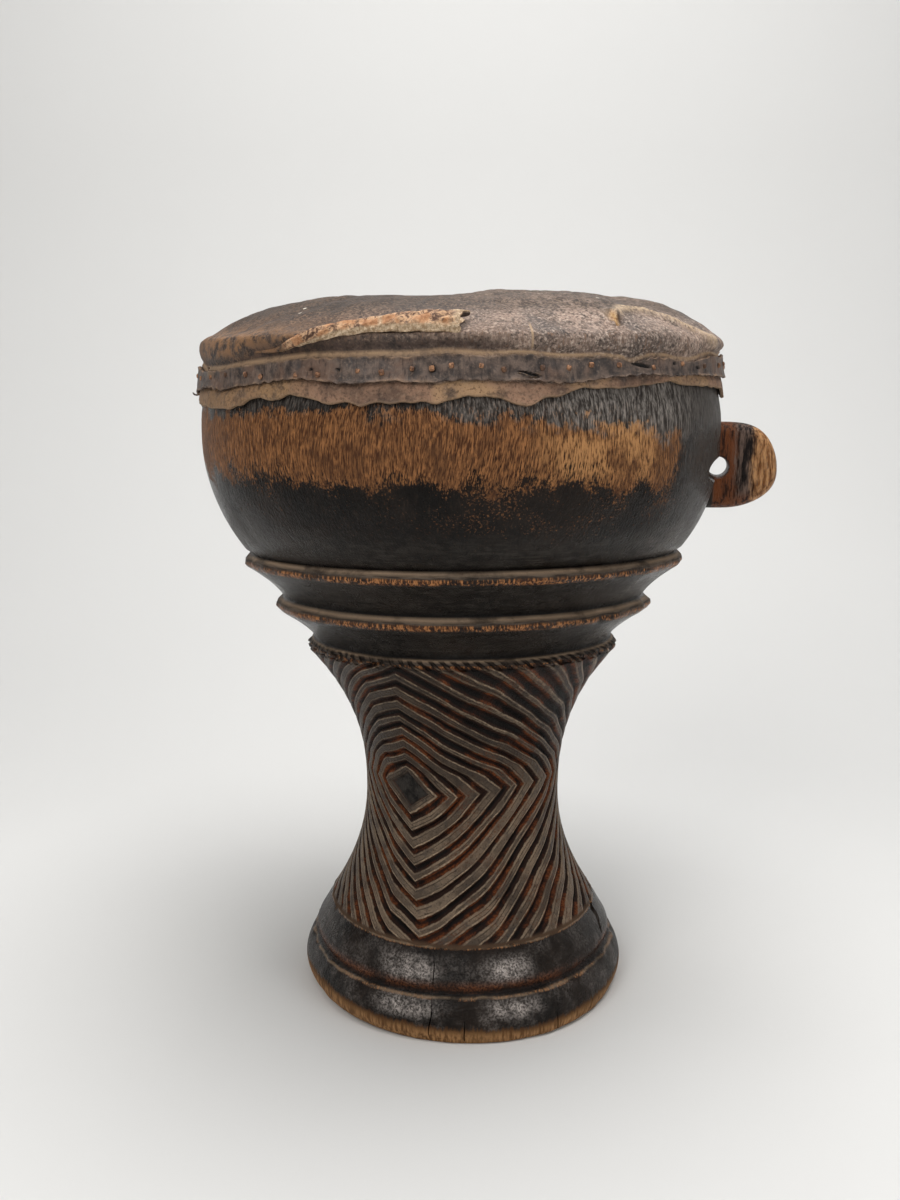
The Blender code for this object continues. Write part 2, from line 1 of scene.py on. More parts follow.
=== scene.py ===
import math
import bmesh
import bpy
import numpy as np
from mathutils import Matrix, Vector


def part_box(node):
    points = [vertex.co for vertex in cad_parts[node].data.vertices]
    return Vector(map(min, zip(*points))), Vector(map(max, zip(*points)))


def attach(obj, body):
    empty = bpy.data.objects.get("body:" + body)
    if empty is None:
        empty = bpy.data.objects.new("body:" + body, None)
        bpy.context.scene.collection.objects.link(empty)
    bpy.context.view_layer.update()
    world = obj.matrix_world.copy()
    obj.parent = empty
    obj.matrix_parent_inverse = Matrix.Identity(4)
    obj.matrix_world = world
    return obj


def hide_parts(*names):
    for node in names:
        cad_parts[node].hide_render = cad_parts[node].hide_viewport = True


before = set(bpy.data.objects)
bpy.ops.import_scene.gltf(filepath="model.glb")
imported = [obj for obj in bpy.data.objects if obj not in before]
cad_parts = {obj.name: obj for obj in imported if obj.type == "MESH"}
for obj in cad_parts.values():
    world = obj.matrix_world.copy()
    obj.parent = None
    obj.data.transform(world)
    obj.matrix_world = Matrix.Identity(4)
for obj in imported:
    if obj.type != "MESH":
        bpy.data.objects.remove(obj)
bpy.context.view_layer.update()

# The drum's upright axis, read from the strap: it is a ring that is a little higher at the lug's side
drum = {
    "skirtFlare": 0.155,  # how much the hide widens for each metre down
    "strapSlope": 0.003,  # rise of the strap towards the lug
    "hideThickness": 0.0016,
    "gap": 0.0003,
}
strapLow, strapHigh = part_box("rim_strap")
axisX = 0.5 * (strapLow.x + strapHigh.x) + drum["skirtFlare"] * drum["strapSlope"]
axisY = 0.5 * (strapLow.y + strapHigh.y)

camera = {"lens": 34.5, "place": (-0.0055, -0.609, 0.319), "lookDown": 10.4}
cameraData = bpy.data.cameras.new("photoCamera")
cameraData.lens = camera["lens"]
cameraData.clip_start = 0.01
photoCamera = bpy.data.objects.new("photoCamera", cameraData)
photoCamera.location = (axisX + camera["place"][0], axisY + camera["place"][1], camera["place"][2])
photoCamera.rotation_euler = (math.radians(90.0 - camera["lookDown"]), 0.0, 0.0)
bpy.context.scene.collection.objects.link(photoCamera)
bpy.context.scene.camera = photoCamera
bpy.context.scene.view_settings.view_transform = "Standard"
print("camera set")


def ramp(low, high, value):
    # 0 below low and 1 above high, with an S-shaped change between them
    share = np.clip((value - low) / (high - low), 0.0, 1.0)
    return share * share * (3.0 - 2.0 * share)


def hill(centre, halfWidth, value):
    # 1 at the centre, down to 0 at halfWidth on both sides, shaped like a cosine
    return 0.5 + 0.5 * np.cos(np.pi * np.clip((value - centre) / halfWidth, -1.0, 1.0))


def ripple(angle, height, seed, turns, perMetre, count=16):
    # sum of sine waves round the drum and up it; whole numbers of turns, so that it closes on itself
    dice = np.random.default_rng(seed)
    total = np.zeros(np.broadcast(angle, height).shape)
    for wave in range(count):
        around = dice.integers(turns[0], turns[1] + 1) * dice.choice([-1, 1])
        total = total + np.sin(around * angle + dice.uniform(-perMetre, perMetre) * height + dice.uniform(0.0, 6.283))
    return total / math.sqrt(0.5 * count)


def curveThrough(points, count):
    # smooth line through the points: a cubic between each two, its slope at a point taken from the neighbours
    spots = np.array(points, float)
    chord = np.concatenate([[0.0], np.cumsum(np.hypot(*np.diff(spots[:, :2], axis=0).T))])
    slope = np.gradient(spots, chord, axis=0)
    at = np.linspace(0.0, chord[-1], count)
    k = np.clip(np.searchsorted(chord, at, side="right") - 1, 0, len(spots) - 2)
    width = (chord[k + 1] - chord[k])[:, None]
    t = (at - chord[k])[:, None] / width
    start = (2 * t**3 - 3 * t**2 + 1) * spots[k] + (t**3 - 2 * t**2 + t) * width * slope[k]
    return start + (3 * t**2 - 2 * t**3) * spots[k + 1] + (t**3 - t**2) * width * slope[k + 1]


def sheetOfFaces(rows, columns, closeColumns=True, closeRows=False, slash=None, first=0):
    # triangles of a grid of rows by columns; slash says where the cut runs from lower right to upper left
    j = np.arange(columns if closeColumns else columns - 1)
    i = np.arange(rows if closeRows else rows - 1)
    i, j = np.meshgrid(i, j, indexing="ij")
    a, b = i * columns + j, i * columns + (j + 1) % columns
    d, c = (i + 1) % rows * columns + j, (i + 1) % rows * columns + (j + 1) % columns
    if slash is None:
        slash = np.zeros(i.shape, bool)
    one = np.where(slash[..., None], np.stack([a, b, d], -1), np.stack([a, b, c], -1))
    two = np.where(slash[..., None], np.stack([b, c, d], -1), np.stack([a, c, d], -1))
    return np.concatenate([one.reshape(-1, 3), two.reshape(-1, 3)]) + first


def fanOfFaces(ring, tip, outward=True):
    # triangles from each side of a closed ring of vertex numbers to one tip
    after = np.roll(ring, -1)
    order = (ring, after) if outward else (after, ring)
    return np.stack([order[0], order[1], np.full(len(ring), tip)], -1)


def makePiece(name, points, faces, material=None, nodes=(), sharp=None):
    mesh = bpy.data.meshes.new(name)
    mesh.from_pydata(np.asarray(points).reshape(-1, 3).tolist(), [], np.asarray(faces).tolist())
    mesh.shade_smooth()
    if sharp is not None:
        mesh.set_sharp_from_angle(angle=math.radians(sharp))
    piece = bpy.data.objects.new(name, mesh)
    bpy.context.scene.collection.objects.link(piece)
    if material is not None:
        mesh.materials.append(material)
        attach(piece, "root")
        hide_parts(*nodes)
    return piece


def paint(mesh, **values):
    # one number for each vertex under each name, for the materials to read
    for name, numbers in values.items():
        layer = mesh.attributes.new(name, "FLOAT", "POINT")
        layer.data.foreach_set("value", np.asarray(numbers, np.float32).ravel())


def aboutAxis(angle, radius, height):
    # point at an angle from the front towards the lug
    angle, radius, height = np.broadcast_arrays(angle, radius, height)
    return np.stack([axisX + radius * np.sin(angle), axisY - radius * np.cos(angle), height], -1)


# short helpers for the nodes of the materials
def feed(tree, socket, value):
    if isinstance(value, bpy.types.NodeSocket):
        tree.links.new(value, socket)
    elif value is not None:
        socket.default_value = value


def maths(tree, operation, *values):
    node = tree.nodes.new("ShaderNodeMath")
    node.operation = operation
    for socket, value in zip(node.inputs, values):
        feed(tree, socket, value)
    return node.outputs[0]


def clouds(tree, where, scale, detail=4.0, roughness=0.55, distortion=0.0):
    # noise between 0 and 1; scale is in spots for each metre
    node = tree.nodes.new("ShaderNodeTexNoise")
    feed(tree, node.inputs["Vector"], where)
    node.inputs["Scale"].default_value = scale
    node.inputs["Detail"].default_value = detail
    node.inputs["Roughness"].default_value = roughness
    node.inputs["Distortion"].default_value = distortion
    return node.outputs["Fac"]


def cells(tree, where, scale):
    node = tree.nodes.new("ShaderNodeTexVoronoi")
    feed(tree, node.inputs["Vector"], where)
    node.inputs["Scale"].default_value = scale
    return node.outputs["Distance"]


def moved(tree, where, place=(0.0, 0.0, 0.0), size=(1.0, 1.0, 1.0)):
    node = tree.nodes.new("ShaderNodeMapping")
    feed(tree, node.inputs["Vector"], where)
    node.inputs["Location"].default_value = place
    node.inputs["Scale"].default_value = size
    return node.outputs[0]


def fade(tree, value, low, high, start=0.0, end=1.0):
    # smooth change from start at low to end at high
    node = tree.nodes.new("ShaderNodeMapRange")
    node.interpolation_type = "SMOOTHSTEP"
    for socket, number in zip(node.inputs, (value, low, high, start, end)):
        feed(tree, socket, number)
    return node.outputs[0]


def hillNode(tree, value, centre, halfWidth):
    # 1 at the centre, down to 0 at halfWidth on both sides
    return fade(tree, maths(tree, "ABSOLUTE", maths(tree, "SUBTRACT", value, centre)), 0.0, halfWidth, 1.0, 0.0)


def foldedTurn(tree, turn):
    # the turn from the front, led back down past 1.7 so that what fades in towards the lug is gone at the back
    past = maths(tree, "MAXIMUM", maths(tree, "SUBTRACT", turn, 1.7), 0.0)
    return maths(tree, "SUBTRACT", turn, maths(tree, "MULTIPLY", past, 3.0))


def mixed(tree, share, first, second):
    node = tree.nodes.new("ShaderNodeMix")
    node.data_type = "RGBA"
    feed(tree, node.inputs[0], share)
    for socket, value in ((node.inputs[6], first), (node.inputs[7], second)):
        feed(tree, socket, (*value, 1.0) if isinstance(value, tuple) else value)
    return node.outputs[2]


def painted(tree, name):
    node = tree.nodes.new("ShaderNodeAttribute")
    node.attribute_name = name
    return node.outputs["Fac"]


def newMaterial(name):
    material = bpy.data.materials.new(name)
    material.use_nodes = True
    tree = material.node_tree
    where = tree.nodes.new("ShaderNodeTexCoord").outputs["Object"]
    return material, tree, moved(tree, where, (-axisX, -axisY, 0.0))


def finishMaterial(tree, colour, roughness, height, bumpDistance, specular=0.5):
    shader = tree.nodes["Principled BSDF"]
    feed(tree, shader.inputs["Base Color"], colour)
    feed(tree, shader.inputs["Roughness"], roughness)
    shader.inputs["Specular IOR Level"].default_value = specular
    bump = tree.nodes.new("ShaderNodeBump")
    bump.inputs["Strength"].default_value = 1.0
    bump.inputs["Distance"].default_value = bumpDistance
    feed(tree, bump.inputs["Height"], height)
    feed(tree, shader.inputs["Normal"], bump.outputs[0])


# the carved body, one piece of wood with its foot and its lug
body = {
    "footBulge": 0.078, "footBulgeAngle": math.radians(18), "footBulgeFade": 0.012,
    "carvingLow": 0.0435, "carvingHigh": 0.1845,
    "bowlFoot": 0.2369, "bowlBulge": 0.294, "bowlRadius": 0.133, "bowlArc": 0.09, "bowlWall": 0.018,
    "ringTilt": 0.036, "ringTiltAngle": math.radians(12), "stemOffset": 0.0013,
    "waistHeight": 0.106, "waistRadius": 0.053, "waistHigh": (0.082, 2.35), "waistLow": (0.0722, 2.1),
    "boreRadius": 0.027, "boreHigh": 0.14, "boreLow": 0.075, "funnelHigh": 0.258, "mouthRadius": 0.069,
    "footWall": [(0.0822, 0.0, 0.0), (0.0836, 0.0007, 0.3), (0.0851, 0.0025, 0.3), (0.0866, 0.005, 0.0),
                 (0.0874, 0.0085, 0.0), (0.087, 0.0125, 0.0), (0.0855, 0.0168, 0.0), (0.0838, 0.0202, 0.5),
                 (0.083, 0.0213, 1.0)],
    "footCrease": [(0.0824, 0.0219, 0.6), (0.081, 0.0224, 0.0), (0.0804, 0.0233, 0.0)],
    "upperFoot": [(0.0806, 0.0246, 0.0), (0.081, 0.0265, 0.0), (0.0804, 0.0289, 0.0), (0.0788, 0.0318, 0.0),
                  (0.0768, 0.0352, 0.0), (0.0754, 0.0377, 0.0), (0.0738, 0.0401, 0.0), (0.073, 0.0414, 0.3)],
    "carvingBorder": [(0.0729, 0.0419, 0.5), (0.0728, 0.0424, 0.5), (0.0724, 0.0429, 0.2)],
    "ringThree": [(0.0821, 0.1853, 0.2), (0.0824, 0.1864, 0.8), (0.0821, 0.1874, 1.0), (0.0813, 0.1883, 0.6),
                  (0.0801, 0.1893, 0.2), (0.079, 0.1903, 0.0)],
    "ringTwo": [(0.079, 0.1908, 0.0), (0.0797, 0.1925, 0.0), (0.0829, 0.1962, 0.0), (0.0872, 0.1998, 0.0),
                (0.0922, 0.2033, 0.1), (0.0966, 0.2061, 0.4), (0.098, 0.2073, 0.8), (0.0985, 0.2087, 1.0),
                (0.0983, 0.21, 1.0), (0.0974, 0.211, 0.7), (0.0961, 0.2121, 0.3), (0.0951, 0.2133, 0.0)],
    "ringOne": [(0.0951, 0.2138, 0.0), (0.096, 0.2153, 0.0), (0.0991, 0.219, 0.0), (0.1033, 0.2229, 0.0),
                (0.1083, 0.2267, 0.1), (0.1121, 0.2294, 0.4), (0.1136, 0.2306, 0.8), (0.1143, 0.232, 1.0),
                (0.1141, 0.2334, 1.0), (0.1132, 0.2346, 0.7), (0.112, 0.2357, 0.3), (0.1111, 0.2366, 0.0)],
    "rimUnderHide": [(0.1307, 0.318), (0.1291, 0.328), (0.1278, 0.336), (0.1298, 0.3391), (0.1295, 0.34),
                     (0.128, 0.3406), (0.1252, 0.3405), (0.1234, 0.3396), (0.1222, 0.335)],
    "lipWave": 0.0005, "lipRough": 0.00045, "lipChip": 0.0013, "handWave": 0.0003,
}
carving = {
    "centreAngle": math.radians(-32.5), "centreHeight": 0.118,
    "halfWidth": math.radians(14), "halfHeight": 0.0108, "edge": 0.78,
    "pitchLeft": math.radians(7.8), "pitchRight": math.radians(12.6), "pitchUp": 0.0068, "pitchDown": 0.0087,
    "ridgesAround": 18, "ridgesUp": 8.5, "ridgesDown": 8.5, "samples": 8,
    "depth": 0.0022, "lowerDrift": (math.radians(14.5), 1.4), "upperDrift": (math.radians(9), 3.0),
    # the lozenges' side corners swerve: turn from the centre, half-width and rise of each swerve
    "sideRises": [(math.radians(22), math.radians(45), -0.0042), (math.radians(-38), math.radians(45), 0.0016)],
    "wander": 0.05,  # how far a groove strays from its true line, as a share of the spacing
}


def ringTilt(height):
    # the rings were cut out of level: the front is higher, most at the rings, not at the foot or the bowl's belly
    grows = ramp(body["carvingLow"], body["carvingHigh"], height)
    return body["ringTilt"] * grows * (1.0 - ramp(body["bowlFoot"], body["bowlBulge"], height))


def onBody(angle, radius, height):
    # point of the body: the foot swells to the front and back, the rings lean, the stem stands a little off the axis
    swell = np.cos(angle - body["footBulgeAngle"]) ** 2 * np.exp(-height / body["footBulgeFade"])
    radius = radius * (1.0 + body["footBulge"] * swell)
    raised = height + ringTilt(height) * radius * np.cos(angle - body["ringTiltAngle"])
    middle = body["stemOffset"] * (1.0 - ramp(body["bowlFoot"], body["bowlBulge"], height))
    return np.stack([axisX + middle + radius * np.sin(angle), axisY - radius * np.cos(angle), raised], -1)


def placeOnBody(points):
    # the other way round: angle, radius and level height of each point, found by a few rounds of correction
    x, y, raised = points[:, 0] - axisX, points[:, 1] - axisY, points[:, 2]
    height = raised
    for _ in range(6):
        off = x - body["stemOffset"] * (1.0 - ramp(body["bowlFoot"], body["bowlBulge"], height))
        angle, radius = np.arctan2(off, -y), np.hypot(off, y)
        height = raised - ringTilt(height) * radius * np.cos(angle - body["ringTiltAngle"])
    swell = np.cos(angle - body["footBulgeAngle"]) ** 2 * np.exp(-height / body["footBulgeFade"])
    return angle, radius / (1.0 + body["footBulge"] * swell), height


def waistRadius(height):
    # radius of the ridge tops: a power curve up to the rings and another down to the foot
    (high, powerUp), (low, powerDown) = body["waistHigh"], body["waistLow"]
    waist = body["waistHeight"]
    up = np.clip((height - waist) / (body["carvingHigh"] - waist), 0.0, None)
    down = np.clip((waist - height) / (waist - body["carvingLow"]), 0.0, None)
    return body["waistRadius"] + (high - body["waistRadius"]) * up**powerUp + (low
        - body["waistRadius"]) * down**powerDown


def bowlRadius(height):
    # an arc below the widest place, straight above it
    drop = np.clip(body["bowlBulge"] - height, 0.0, body["bowlArc"])
    return body["bowlRadius"] - body["bowlArc"] + np.sqrt(body["bowlArc"] ** 2 - drop**2)


def hideRadius(height):
    # outside of the hide's skirt, a cone that widens downwards
    return 0.1308 + drum["skirtFlare"] * (0.331 - height)


def growth(first, pitch, steps, total):
    return (total - first - pitch * (steps - 1.0)) / (steps - 1.0) ** 2


def distanceFor(steps, first, pitch, allSteps, total):
    # distance from the lozenge's centre: one wide step, then steps that widen steadily
    after = np.clip(steps - 1.0, 0.0, None)
    return np.minimum(steps, 1.0) * first + pitch * after + growth(first, pitch, allSteps, total) * after**2


def stepsFor(distance, first, pitch, allSteps, total):
    # the same turned round: the number of steps in a distance, from the root of the quadratic
    over, g = np.clip(distance - first, 0.0, None), growth(first, pitch, allSteps, total)
    return np.minimum(distance / first, 1.0) + (np.sqrt(pitch**2 + 4.0 * g * over) - pitch) / (2.0 * g)


leftSteps = (carving["halfWidth"], carving["pitchLeft"], carving["ridgesAround"], math.pi)
rightSteps = (carving["halfWidth"], carving["pitchRight"], carving["ridgesAround"], math.pi)
upSteps = (carving["halfHeight"], carving["pitchUp"], carving["ridgesUp"],
    body["carvingHigh"] - carving["centreHeight"])
downSteps = (carving["halfHeight"], carving["pitchDown"], carving["ridgesDown"],
    carving["centreHeight"] - body["carvingLow"])


def cornerDrift(height):
    # the lozenges' top and bottom corners wander towards the lug, by a power of the height
    above = np.clip((height - carving["centreHeight"]) / upSteps[3], 0.0, 1.0)
    below = np.clip((carving["centreHeight"] - height) / downSteps[3], 0.0, 1.0)
    return carving["upperDrift"][0] * above ** carving["upperDrift"][1] + carving["lowerDrift"][0] * below ** carving["lowerDrift"][1]


def sideRise(turn, height):
    # how far the side corners stand above their centre's level, fading out at the carving's two ends
    above = np.clip((height - carving["centreHeight"]) / upSteps[3], 0.0, 1.0)
    below = np.clip((carving["centreHeight"] - height) / downSteps[3], 0.0, 1.0)
    rise = sum(top * hill(middle, halfWidth, turn) for middle, halfWidth, top in carving["sideRises"])
    return rise * (1.0 - above**2) * (1.0 - below**2)


def carvingSteps(angle, height):
    # steps around and steps up from the lozenge's centre, the swerve and the drift taken off in a few rounds
    level = height
    for _ in range(5):
        turn = (angle - carving["centreAngle"] - cornerDrift(level) + math.pi) % (2.0 * math.pi) - math.pi
        level = height - sideRise(turn, level)
    around = stepsFor(np.clip(turn, 0.0, None), *rightSteps) - stepsFor(np.clip(-turn, 0.0, None), *leftSteps)
    up = stepsFor(np.clip(level - carving["centreHeight"], 0.0, None), *upSteps)
    return around, up - stepsFor(np.clip(carving["centreHeight"] - level, 0.0, None), *downSteps)


def carvingCut(angle, height):
    # depth of the cut as a share: ridges run where around + up is whole, grooves half-way between, wandering a little
    around, up = carvingSteps(angle, height)
    level = np.abs(around) + np.abs(up) + carving["wander"] * ripple(angle, height, 5, (3, 17), 160)
    side = level - np.round(level)
    offTop = 2.0 * np.abs(side)
    dice = np.random.default_rng(11).uniform(0.0, 1.0, 64)
    number = np.clip(np.round(level).astype(int), 0, 63)
    broad = 0.42 + 0.26 * dice[number] + 0.2 * ramp(0.0, 5.0, up) * ramp(-1.0, 3.0, around)
    groove = 0.1 * offTop**2 + (0.72 + 0.26 * dice[63 - number]) * ramp(1.0 - broad, 1.0, offTop)
    inside = 1.0 - ramp(carving["edge"] - 0.02, 1.0, level)  # the plain lozenge in the middle is sunk
    cut = np.where(level < 1.0, inside, groove)
    limits = ramp(0.0432, 0.045, height) * (1.0 - ramp(0.1868, 0.1884, height))
    offTop = np.where(level < 1.0, 0.9 * inside, offTop)
    return cut * limits, offTop, 1.0 - broad, np.sin(2.0 * np.pi * side), around, up


columnSteps = np.arange(-carving["samples"] * carving["ridgesAround"],
    carving["samples"] * carving["ridgesAround"]) / carving["samples"]
columnTurn = np.where(columnSteps > 0, distanceFor(np.abs(columnSteps), *rightSteps),
    -distanceFor(np.abs(columnSteps), *leftSteps))
rowSteps = np.arange(-carving["samples"] * carving["ridgesDown"],
    carving["samples"] * carving["ridgesUp"] + 1) / carving["samples"]
carvingHeights = carving["centreHeight"] + np.where(rowSteps >= 0, distanceFor(np.abs(rowSteps), *upSteps),
    -distanceFor(np.abs(rowSteps), *downSteps))

# the whole wall as one closed line of (radius, height, lip): up the outside, over the rim, down through the bore
bowlHeights = body["bowlBulge"] - body["bowlArc"] * np.sin(np.linspace(0.655, 0.0, 30))
funnel = np.linspace(1.0, 0.0, 12)
funnelWide = bowlRadius(body["funnelHigh"]) - body["bowlWall"] - body["boreRadius"]
flare = np.linspace(0.0, 1.0, 8)
wallParts = [
    curveThrough(body["footWall"], 15),
    np.array(body["footCrease"]),
    curveThrough(body["upperFoot"], 13),
    np.array(body["carvingBorder"]),
    np.stack([waistRadius(carvingHeights), carvingHeights, 0 * carvingHeights], -1),
    curveThrough(body["ringThree"], 10),
    curveThrough(body["ringTwo"], 17),
    curveThrough(body["ringOne"], 17),
    np.array([(0.1114, 0.237, 0.0)]),
    np.stack([bowlRadius(bowlHeights), bowlHeights, 0 * bowlHeights], -1),
    np.array([(0.133, 0.2985, 0.0), (0.13285, 0.3035, 0.0), (0.13254, 0.3075, 0.0), (0.1317, 0.3125, 0.0)]),
    np.pad(curveThrough(body["rimUnderHide"], 11), ((0, 0), (0, 1))),
    np.array([(0.1185, 0.315, 0.0), (0.115, 0.294, 0.0), (bowlRadius(0.276) - body["bowlWall"], 0.276, 0.0)]),
    np.stack([body["boreRadius"] + funnelWide * funnel**1.6,
            body["boreHigh"] + (body["funnelHigh"] - body["boreHigh"]) * funnel, 0 * funnel], -1),
    np.stack([body["boreRadius"] + (body["mouthRadius"] - body["boreRadius"]) * flare**1.4,
            body["boreLow"] * (1.0 - flare), 0 * flare], -1),
    np.array([(0.075, 0.0, 0.0)]),
]
wall = np.concatenate(wallParts)
outerRows = sum(len(part) for part in wallParts[:11])
isOuter = (np.arange(len(wall)) < outerRows)[:, None]
wallLevel = wall[:, 1:2] + 0 * columnTurn[None, :]
wallAngle = carving["centreAngle"] + columnTurn[None, :] + cornerDrift(wallLevel)
isCarved = (wallLevel > carvingHeights[0] - 0.0001) & (wallLevel < carvingHeights[-1] + 0.0001) & (wall[:, 0:1] > 0.9
    * waistRadius(wall[:, 1:2]))
wallHeight = wallLevel + np.where(isCarved, sideRise(columnTurn[None, :], wallLevel), 0.0)
lip = wall[:, 2:3]
cut, offTop, brinkAt, litSide, around, up = carvingCut(wallAngle, wallHeight)
hand = body["handWave"] * ripple(wallAngle, wallHeight, 3, (2, 8), 60) * isOuter * np.where((wallHeight > 0.002),
    1.0, 0.0)
rough = ripple(wallAngle, wallHeight, 21, (15, 44), 300)
chip = body["lipChip"] * ramp(1.1, 2.3, ripple(wallAngle, wallHeight, 22, (9, 38), 150))
lipWave = body["lipWave"] * ripple(wallAngle, 0 * wallHeight, 23, (2, 13), 1) + body["lipRough"] * rough - chip
plainRadius = np.where(isCarved, waistRadius(wallHeight), wall[:, 0:1])
wallRadius = plainRadius + hand + lip * lipWave - carving["depth"] * cut * isOuter
lipLift = lip * 0.0005 * ripple(wallAngle, 0 * wallHeight, 24, (2, 9), 1)
bodyPoints = onBody(wallAngle, wallRadius, wallHeight)
bodyPoints[..., 2] += np.where(wallHeight > 0.004, lipLift, 0.0)
slash = (around * up > 0.0)[:, : len(columnTurn)]
bodyFaces = sheetOfFaces(len(wall), len(columnTurn), closeRows=True, slash=slash)
wood = makePiece("carvedBody", bodyPoints, bodyFaces)
print("body wall", len(bodyFaces), "triangles")

# the lug: an oval ear with rounded edges, rooted in the bowl's wall
ear = {
    "centre": (0.137, 0.28), "reach": 0.0287, "halfHeight": 0.022, "root": 0.0165, "thickness": 0.0205,
    "fullness": 0.86, "edgeRound": 0.0062, "hole": (0.1353, 0.2792), "holeRadius": 0.0051,
    "holeTurn": math.radians(10),
}
turn = np.linspace(0.0, 2.0 * math.pi, 96, endpoint=False)
right = np.cos(turn) > 0.0
sideways = np.where(right, ear["reach"] * np.abs(np.cos(turn)) ** ear["fullness"],
    -ear["root"] * np.abs(np.cos(turn)) ** 0.35)
upwards = ear["halfHeight"] * np.sign(np.sin(turn)) * np.abs(np.sin(turn)) ** np.where(right, ear["fullness"], 0.35)
# across the thickness: a slightly domed face, a rounded edge, the middle, and the same again
roll = np.linspace(0.0, 0.5 * math.pi, 7)
half = 0.5 * ear["thickness"]
inset = np.concatenate([[0.019, 0.014, 0.0095], ear["edgeRound"] * (1.0 - np.sin(roll))])
depthwise = np.concatenate([[half + 0.0005, half + 0.0003, half + 0.0001],
        half - ear["edgeRound"] * (1.0 - np.cos(roll))])
inset, depthwise = np.concatenate([inset, [0.0], inset[::-1]]), np.concatenate([-depthwise, [0.0], depthwise[::-1]])
share = 1.0 - inset / ear["halfHeight"]
wobble = 1.0 + 0.012 * ripple(turn[None, :], depthwise[:, None], 31, (1, 5), 90)
earX = ear["centre"][0] + sideways[None, :] * share[:, None] * wobble
earZ = ear["centre"][1] + upwards[None, :] * share[:, None] * wobble
earGrid = np.stack([axisX + earX, axisY + depthwise[:, None] + 0 * earX, earZ], -1)
rowsOfEar, columnsOfEar = earX.shape
tips = np.array([[axisX + ear["centre"][0], axisY - half - 0.0006, ear["centre"][1]],
        [axisX + ear["centre"][0], axisY + half + 0.0006, ear["centre"][1]]])
lastRing = np.arange(columnsOfEar) + (rowsOfEar - 1) * columnsOfEar
earFaces = np.concatenate([
    sheetOfFaces(rowsOfEar, columnsOfEar),
    fanOfFaces(np.arange(columnsOfEar), rowsOfEar * columnsOfEar, outward=False),
    fanOfFaces(lastRing, rowsOfEar * columnsOfEar + 1),
])[:, ::-1]
earForm = makePiece("earForm", np.concatenate([earGrid.reshape(-1, 3), tips]), earFaces)


def tubeBetween(path, radii, axes, sides=20):
    # closed tube: a ring of points round each place of the path, with a fan at each end
    swing = np.linspace(0.0, 2.0 * math.pi, sides, endpoint=False)
    first, second = axes
    rings = path[:, None, :] + radii[:, None, None] * (np.cos(swing)[:, None] * first[:, None, :]
        + np.sin(swing)[:, None] * second[:, None, :])
    rows = len(path)
    faces = np.concatenate([
        sheetOfFaces(rows, sides),
        fanOfFaces(np.arange(sides), rows * sides, outward=False),
        fanOfFaces(np.arange(sides) + (rows - 1) * sides, rows * sides + 1),
    ])
    return np.concatenate([rings.reshape(-1, 3), path[:1], path[-1:]]), faces


# the hole runs from front to back, a little turned, and is worn wider where it leaves the ear
along = np.array([-0.07, -0.03, -0.0125, -0.0108, -0.0096, -0.0082, -0.006, 0.0, 0.006, 0.0082, 0.0096, 0.0108,
        0.0125, 0.03, 0.07])
wide = ear["holeRadius"] * np.array([1.35, 1.3, 1.28, 1.24, 1.14, 1.05, 1.0, 0.98, 1.0, 1.05, 1.14, 1.24, 1.28, 1.3,
        1.35])
swingTo = ear["holeTurn"]
holePath = np.stack([axisX + ear["hole"][0] + along * math.sin(swingTo), axisY + along * math.cos(swingTo),
        ear["hole"][1] + 0 * along], -1)
across = np.tile([math.cos(swingTo), -math.sin(swingTo), 0.0], (len(along), 1))
upright = np.tile([0.0, 0.0, 1.0], (len(along), 1))
holePoints, holeFaces = tubeBetween(holePath, wide, (across, upright), 28)

# drying cracks and the open split: wedges that taper to their ends, (angle, height) from end to end, width and depth
cracks = [
    {"line": [(-11.6, 0.0398), (-11.0, 0.0335), (-10.8, 0.0285), (-10.9, 0.0245)], "width": 0.0006, "depth": 0.003},
    {"line": [(-10.9, 0.0222), (-10.6, 0.015), (-11.1, 0.008), (-10.9, -0.0015)], "width": 0.0006, "depth": 0.004},
    {"line": [(0.4, 0.0125), (0.1, 0.007), (0.6, -0.0015)], "width": 0.0006, "depth": 0.003},
    {"line": [(31.2, 0.0105), (31.6, 0.005), (31.3, -0.001)], "width": 0.0005, "depth": 0.002},
    {"line": [(47.8, 0.0115), (48.1, 0.007), (47.6, 0.002)], "width": 0.0006, "depth": 0.002},
    {"line": [(77.5, 0.0475), (75.6, 0.0435), (73.2, 0.0395), (72.6, 0.036), (71.2, 0.0325), (70.4, 0.029)],
        "width": 0.0046, "depth": 0.011},
    {"line": [(158.0, 0.03), (159.5, 0.0345), (158.5, 0.0395)], "width": 0.0008, "depth": 0.003},
    {"line": [(201.0, 0.021), (202.0, 0.012), (201.0, -0.001)], "width": 0.0009, "depth": 0.004},
]


